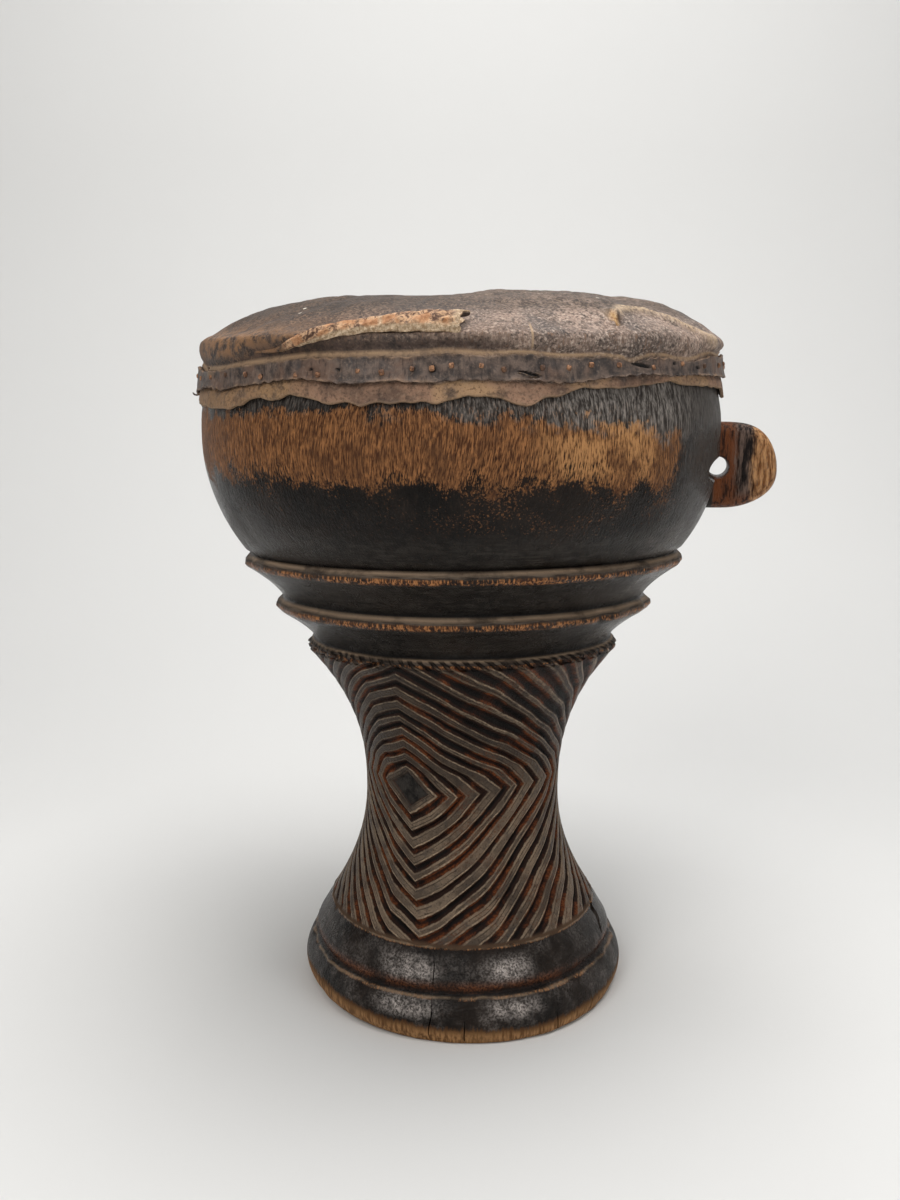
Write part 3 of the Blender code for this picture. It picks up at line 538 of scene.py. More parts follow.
def crackWedge(crack, steps=16):
    # a blade with three edges: two above the wood and one sunk in it, its width a half sine from end to end
    line = curveThrough([(math.radians(a) * 0.08, z) for a, z in crack["line"]], steps)
    angle, height = line[:, 0] / 0.08, line[:, 1]
    s = np.linspace(0.0, 1.0, steps)
    openShare = 0.12 + 0.88 * np.sin(math.pi * np.clip(s, 0.02, 0.98)) ** 0.6
    wander = 0.25 * crack["width"] * np.sin(9.0 * s + 40.0 * crack["width"] * 1000.0)
    surface = np.interp(height, [-0.01, 0.0, 0.0085, 0.0213, 0.0233, 0.0265, 0.0377, 0.0435, 0.05],
        [0.083, 0.083, 0.0874, 0.083, 0.0806, 0.081, 0.0754, 0.0722, 0.0695])
    halfWidth = 0.5 * crack["width"] * openShare
    out, deep = surface + 0.009, surface - crack["depth"] * openShare
    outHalf = halfWidth * (out - deep) / (surface - deep) / out
    corners = [onBody(angle - outHalf + wander / out, out, height),
        onBody(angle + outHalf + wander / out, out, height), onBody(angle + wander / deep, deep, height)]
    points = np.stack(corners, 1).reshape(-1, 3)
    faces = np.concatenate([sheetOfFaces(steps, 3), [[0, 2, 1]], [[3 * steps - 3, 3 * steps - 2, 3 * steps - 1]]])
    return points, faces


def joined(parts):
    # several meshes as one list of points and one of faces
    shift, points, faces = 0, [], []
    for somePoints, someFaces in parts:
        points.append(somePoints)
        faces.append(np.asarray(someFaces) + shift)
        shift += len(somePoints)
    return np.concatenate(points), np.concatenate(faces)


cutterPoints, cutterFaces = joined([(holePoints, holeFaces)] + [crackWedge(crack) for crack in cracks])
cutters = makePiece("cutters", cutterPoints, cutterFaces)


def outwardNormals(piece):
    builder = bmesh.new()
    builder.from_mesh(piece.data)
    bmesh.ops.recalc_face_normals(builder, faces=builder.faces)
    builder.to_mesh(piece.data)
    builder.free()


for form in (wood, earForm, cutters):
    outwardNormals(form)


def combine(piece, operation, tool):
    # the solver that keeps the wall closed; the result replaces the piece's mesh and the tool goes away
    modifier = piece.modifiers.new("carve", "BOOLEAN")
    modifier.operation, modifier.object, modifier.solver = operation, tool, "EXACT"
    graph = bpy.context.evaluated_depsgraph_get()
    result = bpy.data.meshes.new_from_object(piece.evaluated_get(graph))
    piece.modifiers.clear()
    piece.data = result
    bpy.data.objects.remove(tool, do_unlink=True)


combine(wood, "UNION", earForm)
combine(wood, "DIFFERENCE", cutters)
wood.data.shade_smooth()
wood.data.set_sharp_from_angle(angle=math.radians(58))
print("lug, hole and cracks cut", len(wood.data.vertices), "points")

# what the wood's finish reads, worked out from where each point ended up
spots = np.zeros(len(wood.data.vertices) * 3)
wood.data.vertices.foreach_get("co", spots)
spots = spots.reshape(-1, 3)
angle, radius, height = placeOnBody(spots)
cut, offTop, brinkAt, litSide, around, up = carvingCut(angle, height)
nearStem = ramp(-0.006, -0.004, radius - waistRadius(height)) * ((height > 0.0425) & (height < 0.1895))
outside = np.where(height < 0.0435, radius > 0.0725, radius > np.where(height < 0.19,
        waistRadius(np.minimum(height, 0.1845)) - 0.006, np.interp(height, [0.19, 0.2369, 0.25, 0.294, 0.345],
            [0.076, 0.107, 0.115, 0.127, 0.121])))
earward = np.where((radius > bowlRadius(height) + 0.0006) & (np.abs(spots[:, 1] - axisY) < 0.0125) & (height > 0.25)
    & (spots[:, 0] > axisX + 0.1), (spots[:, 0] - axisX - 0.13) / 0.0357, 0.0)
ringEdges = hill(0.1862, 0.0018, height) * (radius > 0.0785) + hill(0.208, 0.0021,
    height) * (radius > 0.0962) + hill(0.2313, 0.0021, height) * (radius > 0.1122)
footEdges = 0.8 * hill(0.0213, 0.0011, height) * (radius > 0.0822) + 0.55 * hill(0.0424, 0.0016, height)
ledges = hill(0.1885, 0.0026, height) * (radius > 0.0765) + hill(0.211, 0.0029,
    height) * (radius > 0.0935) + hill(0.2344, 0.0029, height) * (radius > 0.109)
# creases under the carving, the rings and the bowl's base and at the foot, where painted shade goes
creaseShadows = hill(0.1846, 0.001, height) + hill(0.191, 0.0026, height) * (radius < 0.0806) + hill(0.2142, 0.0028,
    height) * (radius < 0.0972)
creaseShadows = creaseShadows + hill(0.2374, 0.0026, height) * (radius < 0.1124) + hill(0.0228, 0.0008, height)
paleLines = hill(0.1893, 0.0008, height) * (radius > 0.078) + hill(0.2119, 0.0008,
    height) * (radius > 0.0945) + hill(0.2355, 0.0008, height) * (radius > 0.1105)
paint(
    wood.data,
    groove=cut * nearStem,
    offTop=offTop,
    brinkAt=brinkAt,
    litSide=litSide,
    carved=nearStem * ramp(0.0425, 0.0445, height) * (1.0 - ramp(0.185, 0.1876, height)),
    worn=np.clip(ringEdges + footEdges, 0.0, 1.0) * outside,
    dust=np.clip(ledges, 0.0, 1.0) * outside,
    ear=earward,
    hollow=1.0 - outside,
    level=height,
    lozenge=1.0 - ramp(0.8, 0.97, np.abs(around) + np.abs(up)),
    crease=np.clip(creaseShadows, 0.0, 1.0) * outside,
    paleLine=np.clip(paleLines, 0.0, 1.0) * outside,
    footGroove=outside * hill(0.0232, 0.0022, height) * (radius < 0.0826),
)


def makeWood():
    # dark carved wood: worn orange belt on the bowl, dusty ridges, red-brown cuts, a bare tan band under the foot
    material, tree, where = newMaterial("carvedWood")
    split = tree.nodes.new("ShaderNodeSeparateXYZ")
    tree.links.new(where, split.inputs[0])
    x, y, z = split.outputs
    turn = maths(tree, "ARCTAN2", x, maths(tree, "MULTIPLY", y, -1.0))
    groove, offTop, brinkAt, litSide, carved, worn, dust, earward, hollow = (
        painted(tree, n) for n in ("groove", "offTop", "brinkAt", "litSide", "carved", "worn", "dust", "ear",
            "hollow"))

    level, crease, paleLine, footGroove, lozenge = (painted(tree, n)
        for n in ("level", "crease", "paleLine", "footGroove", "lozenge"))
    blotch = clouds(tree, where, 22.0, 5.0, 0.6)
    patch = clouds(tree, where, 60.0, 5.0, 0.62)
    mottle = clouds(tree, moved(tree, where, (0.4, 0.1, 0.0)), 190.0, 4.0, 0.68)
    speck = clouds(tree, where, 900.0, 3.0, 0.62)
    # adze strokes: noise drawn out upwards, turned a little with height so that the strokes slant
    slant = tree.nodes.new("ShaderNodeVectorRotate")
    slant.rotation_type = "Z_AXIS"
    tree.links.new(where, slant.inputs["Vector"])
    lean = maths(tree, "MULTIPLY", maths(tree, "SUBTRACT", clouds(tree, where, 9.0, 1.0), 0.5), 9.0)
    tree.links.new(maths(tree, "MULTIPLY", maths(tree, "SUBTRACT", z, 0.29), lean), slant.inputs["Angle"])
    slanted = slant.outputs[0]
    strokes = clouds(tree, moved(tree, slanted, size=(1.0, 1.0, 0.14)), 1750.0, 2.0, 0.6, 0.2)
    longStrokes = clouds(tree, moved(tree, slanted, size=(1.0, 1.0, 0.12)), 850.0, 3.0, 0.6)
    streaks = clouds(tree, moved(tree, where, size=(0.1, 0.1, 1.0)), 900.0, 4.0, 0.65)
    grain = clouds(tree, moved(tree, where, size=(1.0, 1.0, 0.05)), 700.0, 4.0, 0.6)
    # towards the lug, and towards the drum's two sides seen from the front
    folded = foldedTurn(tree, turn)
    lugSide = fade(tree, folded, 0.15, 0.75)
    # the drum's side towards the lug, as seen from the front: a painted grey sheen is laid on there
    paintedSheenSide = fade(tree, folded, 0.55, 1.15)

    # smoked wood: near-black with soft brown clouds and a grey bloom in patches, which grows into a painted grey sheen
    # towards the lug's side
    smoke = mixed(tree, fade(tree, blotch, 0.38, 0.66), (0.004, 0.003, 0.0025), (0.016, 0.0108, 0.008))
    smoke = mixed(tree, fade(tree, grain, 0.5, 0.75, 0.0, 0.45), smoke, (0.036, 0.023, 0.016))
    greyBloomAndSheen = maths(tree, "MULTIPLY", fade(tree, mottle, 0.44, 0.6), fade(tree, patch, 0.42, 0.6, 0.1, 1.0))
    colour = mixed(tree, maths(tree, "MULTIPLY", greyBloomAndSheen, fade(tree, paintedSheenSide, 0.0, 1.0, 0.04, 0.32)), smoke,
        (0.06, 0.05, 0.043))

    # belt: a soft band of light wood, shown between dark strokes; fine specks take over where it dies away below
    ragged = maths(tree, "MULTIPLY_ADD", maths(tree, "SUBTRACT", patch, 0.5), 0.04, z)
    ragged = maths(tree, "MULTIPLY_ADD", maths(tree, "SUBTRACT", mottle, 0.5), 0.012, ragged)
    lowEdge = fade(tree, ragged, maths(tree, "MULTIPLY_ADD", lugSide, -0.006, 0.268),
        maths(tree, "MULTIPLY_ADD", lugSide, -0.004, 0.292))
    highEdge = fade(tree, maths(tree, "MULTIPLY_ADD", lugSide, 0.006, ragged), 0.302, 0.314, 1.0, 0.0)
    strength = fade(tree, maths(tree, "COSINE", maths(tree, "SUBTRACT", turn, -0.78)), 0.35, 1.0, 0.0, 0.35)
    strength = maths(tree, "ADD", strength, fade(tree, maths(tree, "COSINE", maths(tree, "SUBTRACT", turn, 0.5)),
            0.86, 1.0, 0.0, 0.5))
    strength = maths(tree, "ADD", strength, fade(tree, maths(tree, "COSINE", maths(tree, "SUBTRACT", turn, 2.7)),
            0.2, 1.0, 0.0, 0.35))
    strength = maths(tree, "SUBTRACT", strength, fade(tree,
            maths(tree, "COSINE", maths(tree, "SUBTRACT", turn, 1.1)), 0.9, 0.99, 0.0, 0.82))
    strength = maths(tree, "MULTIPLY_ADD", maths(tree, "SUBTRACT", blotch, 0.5), 0.9,
        maths(tree, "ADD", strength, 0.66))
    belt = maths(tree, "MULTIPLY", maths(tree, "MULTIPLY", lowEdge, highEdge), fade(tree, strength, 0.05, 0.8))
    tail = maths(tree, "MULTIPLY", fade(tree, z, 0.242, 0.268, 0.0, 0.36),
        fade(tree, maths(tree, "COSINE", maths(tree, "SUBTRACT", turn, 0.35)), 0.82, 0.99, 0.45, 1.0))
    tail = maths(tree, "MULTIPLY", tail, maths(tree, "MULTIPLY", fade(tree, z, 0.318, 0.312, 0.0, 1.0),
            fade(tree, patch, 0.4, 0.58, 0.2, 1.0)))
    belt = maths(tree, "MAXIMUM", belt, tail)
    flecks = mixed(tree, fade(tree, z, 0.272, 0.288), speck, strokes)
    tone = maths(tree, "MULTIPLY_ADD", maths(tree, "SUBTRACT", flecks, 0.5), 1.9, belt)
    beltShare = fade(tree, tone, 0.34, 0.72)
    beltColour = mixed(tree, fade(tree, strokes, 0.36, 0.62), (0.07, 0.026, 0.0105), (0.335, 0.148, 0.056))
    beltColour = mixed(tree, fade(tree, longStrokes, 0.56, 0.4, 0.0, 0.55), beltColour, (0.055, 0.022, 0.01))
    beltColour = mixed(tree, fade(tree, mottle, 0.52, 0.68, 0.0, 0.55), beltColour, (0.085, 0.038, 0.018))
    beltColour = mixed(tree, fade(tree, patch, 0.5, 0.66, 0.0, 0.5), beltColour, (0.06, 0.026, 0.013))
    glow = maths(tree, "MULTIPLY", fade(tree, maths(tree, "COSINE", maths(tree, "SUBTRACT", turn, 0.5)), 0.95, 1.0),
        fade(tree, strokes, 0.34, 0.56))
    glow = maths(tree, "MULTIPLY", glow, maths(tree, "MULTIPLY", fade(tree, z, 0.276, 0.288),
            fade(tree, patch, 0.6, 0.44, 0.1, 0.85)))
    beltColour = mixed(tree, glow, beltColour, (0.52, 0.265, 0.105))
    colour = mixed(tree, beltShare, colour, beltColour)
    # painted grey sheen under the skirt, thickest towards the lug, and dark grey wood beside the lug
    paintedSheenUnderSkirt = fade(tree, maths(tree, "MULTIPLY_ADD", lugSide, 0.008, ragged), 0.303, 0.314)
    paintedSheenUnderSkirt = maths(tree, "MULTIPLY", paintedSheenUnderSkirt, fade(tree, folded, -0.35, 0.45, 0.3, 0.85))
    paintedSheenUnderSkirtColour = mixed(tree, fade(tree, longStrokes, 0.38, 0.62), (0.05, 0.042, 0.037), (0.3, 0.268, 0.24))
    colour = mixed(tree, maths(tree, "MULTIPLY", paintedSheenUnderSkirt, fade(tree, strokes, 0.36, 0.6, 0.35, 1.0)), colour,
        paintedSheenUnderSkirtColour)
    beside = maths(tree, "MULTIPLY", fade(tree, turn, 0.72, 1.05),
        maths(tree, "MULTIPLY", fade(tree, turn, 2.4, 2.0), fade(tree, z, 0.244, 0.258)))
    colour = mixed(tree, maths(tree, "MULTIPLY", beside, fade(tree, longStrokes, 0.38, 0.6, 0.3, 0.75)), colour,
        (0.04, 0.032, 0.027))

    # above the rings: a smooth greenish-grey painted sheen with level streaks; the rings' faces are streaked with
    # painted grey sheen too, brighter towards the lug's side
    zone = maths(tree, "MULTIPLY", fade(tree, level, 0.258, 0.246), fade(tree, level, 0.1888, 0.191))
    paintedStreakSheen = maths(tree, "MULTIPLY", zone, fade(tree, streaks, 0.4, 0.62, 0.25, 1.0))
    colour = mixed(tree, maths(tree, "MULTIPLY", paintedStreakSheen, fade(tree, mottle, 0.35, 0.62, 0.25, 0.85)), colour,
        (0.036, 0.031, 0.026))
    colour = mixed(tree, maths(tree, "MULTIPLY", paintedStreakSheen, fade(tree, maths(tree, "MULTIPLY_ADD", patch, 0.9, paintedSheenSide),
                0.65, 1.1, 0.0, 0.8)), colour, (0.092, 0.08, 0.07))
    # ledges lie under tan-grey dust, with a thin pale line along the brink
    dusty = maths(tree, "MULTIPLY", dust, fade(tree, patch, 0.3, 0.58, 0.45, 0.95))
    dustColour = mixed(tree, fade(tree, streaks, 0.4, 0.6), (0.062, 0.046, 0.036), (0.165, 0.125, 0.094))
    colour = mixed(tree, dusty, colour, dustColour)
    # painted shade: near-black in the creases under the rings and ledges
    colour = mixed(tree, maths(tree, "MULTIPLY", crease, 0.92), colour, (0.0035, 0.0027, 0.0023))
    # lips worn to orange brown in short upright strokes with dark gaps
    ringStrokes = clouds(tree, moved(tree, where, size=(1.0, 1.0, 0.22)), 1000.0, 3.0, 0.65)
    wornEdge = maths(tree, "MULTIPLY", fade(tree, worn, 0.15, 0.65),
        fade(tree, maths(tree, "MULTIPLY_ADD", patch, 0.6, ringStrokes), 0.68, 0.9, 0.05, 1.0))
    wornColour = mixed(tree, fade(tree, ringStrokes, 0.44, 0.64), (0.085, 0.028, 0.01), (0.42, 0.185, 0.07))
    colour = mixed(tree, maths(tree, "MULTIPLY", worn, 0.6), colour, (0.016, 0.01, 0.008))
    colour = mixed(tree, wornEdge, colour, wornColour)
    colour = mixed(tree, maths(tree, "MULTIPLY", paleLine, fade(tree, patch, 0.34, 0.52, 0.25, 0.95)), colour,
        (0.38, 0.27, 0.18))
    # the lowest ring's lip is nicked aslant: a sine of the turn and the height
    nickWave = maths(tree, "MULTIPLY_ADD", turn, 92.0, maths(tree, "MULTIPLY_ADD", level, 1300.0,
            maths(tree, "MULTIPLY", patch, 9.0)))
    nick = fade(tree, maths(tree, "SINE", nickWave), -0.25, 0.65)
    nick = maths(tree, "MULTIPLY", nick, maths(tree, "MULTIPLY", fade(tree, level, 0.1845, 0.1855),
            fade(tree, level, 0.1898, 0.1884)))
    nick = maths(tree, "MULTIPLY", nick, fade(tree, patch, 0.34, 0.52, 0.35, 1.0))
    colour = mixed(tree, maths(tree, "MULTIPLY", nick, 0.9), colour, (0.008, 0.005, 0.004))

    # carving: tan-grey ridges with pale edge lines, red-brown groove walls, near-black groove floors; darker above
    upper = fade(tree, z, 0.09, 0.14)
    ridge = mixed(tree, fade(tree, patch, 0.35, 0.66), (0.072, 0.052, 0.038), (0.215, 0.155, 0.105))
    ridge = mixed(tree, fade(tree, mottle, 0.5, 0.66, 0.0, 0.6), ridge, (0.055, 0.047, 0.042))
    ridge = mixed(tree, maths(tree, "MULTIPLY", upper, 0.8), ridge, (0.026, 0.0185, 0.014))
    ridge = mixed(tree, fade(tree, speck, 0.52, 0.7, 0.0, 0.55), ridge, (0.018, 0.012, 0.009))
    beyond = maths(tree, "SUBTRACT", maths(tree, "MULTIPLY_ADD", maths(tree, "SUBTRACT", mottle, 0.5), 0.35, offTop),
        brinkAt)
    pale = maths(tree, "MULTIPLY", hillNode(tree, beyond, -0.02, 0.15),
        fade(tree, clouds(tree, where, 150.0, 3.0), 0.34, 0.58, 0.2, 1.0))
    # the pale edge lines are partly dust and partly a painted highlight: fuller on the ridges' lit side
    pale = maths(tree, "MULTIPLY", pale, fade(tree, litSide, -0.5, 0.4, 0.45, 1.0))
    scored = maths(tree, "MULTIPLY", hillNode(tree, beyond, -0.22, 0.09),
        fade(tree, clouds(tree, where, 120.0, 3.0), 0.42, 0.56))
    ridge = mixed(tree, maths(tree, "MULTIPLY", scored, 0.75), ridge, (0.012, 0.008, 0.006))
    pale = maths(tree, "MULTIPLY", pale, fade(tree, upper, 0.0, 1.0, 0.95, 0.6))
    ridge = mixed(tree, pale, ridge, mixed(tree, fade(tree, speck, 0.4, 0.6), (0.24, 0.165, 0.102),
            (0.46, 0.345, 0.235)))
    rusty = fade(tree, clouds(tree, moved(tree, where, (0.31, 0.0, 0.0)), 60.0, 4.0, 0.62), 0.46, 0.6)
    hatch = fade(tree, speck, 0.44, 0.6)
    rust = maths(tree, "MULTIPLY", maths(tree, "MULTIPLY", rusty, hatch), fade(tree, folded, -0.45, 0.05, 0.15, 1.0))
    rust = maths(tree, "MULTIPLY", rust, fade(tree, groove, 0.02, 0.3, 0.35, 1.0))
    ridge = mixed(tree, maths(tree, "MULTIPLY", rust, 0.85), ridge, (0.15, 0.042, 0.012))
    wallColour = mixed(tree, maths(tree, "MULTIPLY", rusty, fade(tree, speck, 0.4, 0.6, 0.3, 1.0)),
        (0.02, 0.0085, 0.005), (0.15, 0.042, 0.012))
    floorColour = mixed(tree, maths(tree, "MULTIPLY", rusty, 0.35), (0.005, 0.0034, 0.0028), (0.05, 0.014, 0.0055))
    carvedColour = mixed(tree, fade(tree, beyond, 0.06, 0.15), ridge, wallColour)
    carvedColour = mixed(tree, fade(tree, beyond, 0.28, 0.48), carvedColour, floorColour)
    carvedColour = mixed(tree, lozenge, carvedColour, mixed(tree, fade(tree, mottle, 0.38, 0.62),
            (0.006, 0.005, 0.0045), (0.036, 0.031, 0.027)))
    colour = mixed(tree, carved, colour, carvedColour)

    # foot: painted grey sheen and highlights in mottled patches on near-black, red-brown above the step, a tan band
    # left bare at the bottom
    footZone = fade(tree, z, 0.0405, 0.0425, 1.0, 0.0)
    # painted highlights: three patches round the foot at set turns and heights, where the lamps' reflections fall
    footHighlightPatches = maths(tree, "MAXIMUM", hillNode(tree, turn, -0.33, 0.3),
        maths(tree, "MAXIMUM", hillNode(tree, turn, 0.31, 0.24), hillNode(tree, turn, 2.5, 0.6)))
    footHighlightPatches = maths(tree, "MULTIPLY", footHighlightPatches, maths(tree, "MAXIMUM", hillNode(tree, z, 0.0325, 0.0085),
            hillNode(tree, z, 0.0165, 0.0065)))
    sheen = maths(tree, "MULTIPLY", fade(tree, mottle, 0.34, 0.62, 0.3, 1.0),
        maths(tree, "MULTIPLY_ADD", fade(tree, patch, 0.42, 0.62), 0.16, footHighlightPatches))
    sheenColour = mixed(tree, fade(tree, speck, 0.38, 0.62), (0.11, 0.096, 0.087), (0.52, 0.46, 0.42))
    colour = mixed(tree, maths(tree, "MULTIPLY", footZone, maths(tree, "MULTIPLY", sheen, 0.95)), colour, sheenColour)
    edge = maths(tree, "MULTIPLY_ADD", maths(tree, "SUBTRACT", clouds(tree, where, 30.0, 2.0), 0.5), 0.006, z)
    edge = maths(tree, "MULTIPLY_ADD", maths(tree, "SUBTRACT", grain, 0.5), 0.007, edge)
    edge = maths(tree, "MULTIPLY_ADD", fade(tree, maths(tree, "COSINE", maths(tree, "SUBTRACT", turn, 0.25)), 0.35,
            1.0), 0.0035, edge)
    bare = fade(tree, edge, 0.0105, 0.013, 1.0, 0.0)
    tan = mixed(tree, fade(tree, grain, 0.38, 0.64), (0.13, 0.062, 0.024), (0.4, 0.215, 0.092))
    tan = mixed(tree, fade(tree, blotch, 0.45, 0.65, 0.0, 0.5), tan, (0.23, 0.125, 0.052))
    tan = mixed(tree, fade(tree, edge, 0.008, 0.0118, 0.0, 0.8), tan, (0.05, 0.021, 0.0085))
    colour = mixed(tree, maths(tree, "MULTIPLY", bare, footZone), colour, tan)
    stepGlow = maths(tree, "MULTIPLY", fade(tree, z, 0.0222, 0.0232), fade(tree, z, 0.025, 0.03, 1.0, 0.0))
    stepGlow = maths(tree, "MULTIPLY", stepGlow, fade(tree, patch, 0.36, 0.56, 0.15, 1.0))
    colour = mixed(tree, maths(tree, "MULTIPLY", stepGlow, 0.85), colour,
        mixed(tree, fade(tree, speck, 0.4, 0.6), (0.04, 0.013, 0.006), (0.15, 0.048, 0.015)))
    rim = maths(tree, "ADD", hillNode(tree, z, 0.0213, 0.001), hillNode(tree, z, 0.0426, 0.0009))
    colour = mixed(tree, maths(tree, "MULTIPLY", rim, fade(tree, patch, 0.34, 0.54, 0.1, 0.8)), colour,
        (0.215, 0.15, 0.095))
    # painted shade: near-black in the groove at the foot's step
    colour = mixed(tree, maths(tree, "MULTIPLY", footGroove, 0.85), colour, (0.004, 0.003, 0.0025))

    # lug: reddish beside the hole, then dark with grey streaks, then an orange-tan band and a grey outer rim
    earStreaks = clouds(tree, moved(tree, where, size=(1.0, 1.0, 0.14)), 620.0, 3.0, 0.65)
    onEar = fade(tree, earward, 0.02, 0.06)
    earAt = maths(tree, "MULTIPLY_ADD", maths(tree, "SUBTRACT", patch, 0.5), 0.3,
        maths(tree, "MULTIPLY_ADD", maths(tree, "SUBTRACT", earStreaks, 0.5), 0.25, earward))
    earDark = mixed(tree, fade(tree, earStreaks, 0.4, 0.64), (0.009, 0.006, 0.005), (0.15, 0.1, 0.078))
    colour = mixed(tree, onEar, colour, earDark)
    earRed = maths(tree, "MULTIPLY", maths(tree, "MAXIMUM", fade(tree, z, 0.259, 0.268, 1.0, 0.0),
            fade(tree, earAt, 0.3, 0.44, 1.0, 0.0)), onEar)
    earRed = maths(tree, "MULTIPLY", earRed, fade(tree, earStreaks, 0.36, 0.56, 0.15, 0.95))
    colour = mixed(tree, earRed, colour, (0.165, 0.05, 0.016))
    earRim = maths(tree, "MULTIPLY", fade(tree, earAt, 0.56, 0.7), fade(tree, strokes, 0.3, 0.5, 0.35, 1.0))
    colour = mixed(tree, earRim, colour, mixed(tree, fade(tree, earStreaks, 0.38, 0.62), (0.165, 0.062, 0.02),
            (0.5, 0.265, 0.115)))
    colour = mixed(tree, maths(tree, "MULTIPLY", fade(tree, earAt, 0.9, 1.0), 0.7), colour, (0.15, 0.118, 0.09))

    colour = mixed(tree, hollow, colour, mixed(tree, patch, (0.05, 0.029, 0.018), (0.115, 0.068, 0.04)))
    # a few pale specks of lime
    lime = fade(tree, cells(tree, where, 55.0), 0.022, 0.03, 1.0, 0.0)
    lime = maths(tree, "MULTIPLY", lime, fade(tree, clouds(tree, where, 14.0, 1.0), 0.56, 0.6))
    colour = mixed(tree, lime, colour, (0.62, 0.56, 0.47))

    # gloss: handled and smoked parts shine in patches, dust, cuts and the bare band are dull
    shine = fade(tree, clouds(tree, where, 34.0, 3.0), 0.4, 0.62, 0.19, 0.36)
    roughness = mixed(tree, maths(tree, "MAXIMUM", beltShare, paintedSheenUnderSkirt), shine, (0.5, 0.5, 0.5))
    roughness = mixed(tree, maths(tree, "MULTIPLY", carved, fade(tree, groove, 0.1, 0.5, 0.55, 1.0)), roughness,
        (0.55, 0.55, 0.55))
    roughness = mixed(tree, maths(tree, "MAXIMUM", dusty, maths(tree, "MULTIPLY", bare, footZone)), roughness,
        (0.72, 0.72, 0.72))
    roughness = mixed(tree, hollow, roughness, (0.8, 0.8, 0.8))
    roughness = maths(tree, "MULTIPLY_ADD", maths(tree, "SUBTRACT", speck, 0.5), 0.2, roughness)

    relief = maths(tree, "MULTIPLY_ADD", strokes, 0.5, maths(tree, "MULTIPLY", speck, 0.3))
    relief = maths(tree, "MULTIPLY_ADD", longStrokes, 0.45, relief)
    relief = maths(tree, "MULTIPLY_ADD", grain, 0.4, relief)
    relief = maths(tree, "MULTIPLY_ADD", mottle, 0.7, relief)
    relief = maths(tree, "MULTIPLY_ADD", patch, 0.8, relief)
    relief = maths(tree, "MULTIPLY_ADD", nick, -5.0, relief)
    finishMaterial(tree, colour, roughness, relief, 0.0008, 0.12)
    return material


carvedWood = makeWood()
wood.data.materials.clear()
wood.data.materials.append(carvedWood)
wood.name = "carvedBody"
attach(wood, "root")
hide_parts("drum_body")
print("carved body finished")

# the hide head: skirt, shoulder and shallow dome, one closed skin with its own thickness
head = {
    "top": 0.3655, "domeRadius": 0.122, "domeDrop": 0.0172, "domePower": 4.4, "columns": 384,
    "shoulder": [(0.1302, 0.335), (0.1303, 0.3362), (0.1316, 0.3376), (0.1325, 0.3394), (0.132, 0.3414),
                 (0.13, 0.3432), (0.1273, 0.3448), (0.1246, 0.3465), (0.122, 0.3483)],
    # torn lower edge in front, as (degrees from the front towards the lug, height)
    "edge": [(-66, .3113), (-58, .3102), (-50, .3104), (-46.5, .3128), (-43.5, .3155), (-38.4, .3143),
        (-33.2, .3167), (-28.9, .3154),
             (-26.2, .3129), (-21.3, .3137), (-18.6, .312), (-17.1, .3133), (-9.4, .3137), (-7.7, .3141),
             (-5.1, .3133),
             (-2.6, .3145), (.8, .3166), (6.6, .3157), (8.0, .3137), (11.6, .3121), (14.3, .3151), (17.5, .3165),
             (22.3, .3198),
             (29.1, .3194), (35.5, .3206), (40.5, .3218), (43.9, .3228), (46.8, .3214), (51.5, .3207), (59.9, .3203),
             (67, .3194)],
    # pleat pulled up on the left: (degrees, height on the shoulder, half its width, how far it stands up)
    "pleat": [(-44, .335, .0004, .0002), (-39, .3352, .001, .0007), (-33, .3383, .002, .0017),
        (-28, .341, .003, .0023), (-23, .3428, .0036, .0027),
              (-16, .3444, .0042, .0029), (-13, .3451, .0052, .0033), (-8, .3453, .0058, .0037),
              (-2.6, .3452, .006, .0039), (-.4, .3452, .006, .0039)],
    # softer fold on the lug's side, (degrees, height)
    "fold": [(33, .35), (37, .3527), (41, .3528), (45.3, .3523), (47.6, .3516), (49.5, .3499), (52.5, .3474),
        (55.8, .3447), (58.8, .3425), (62, .3409)],
    "plug": (31.8, 0.3481),
    "hollow": (-42, 3, 0.3376, 0.0016),
}
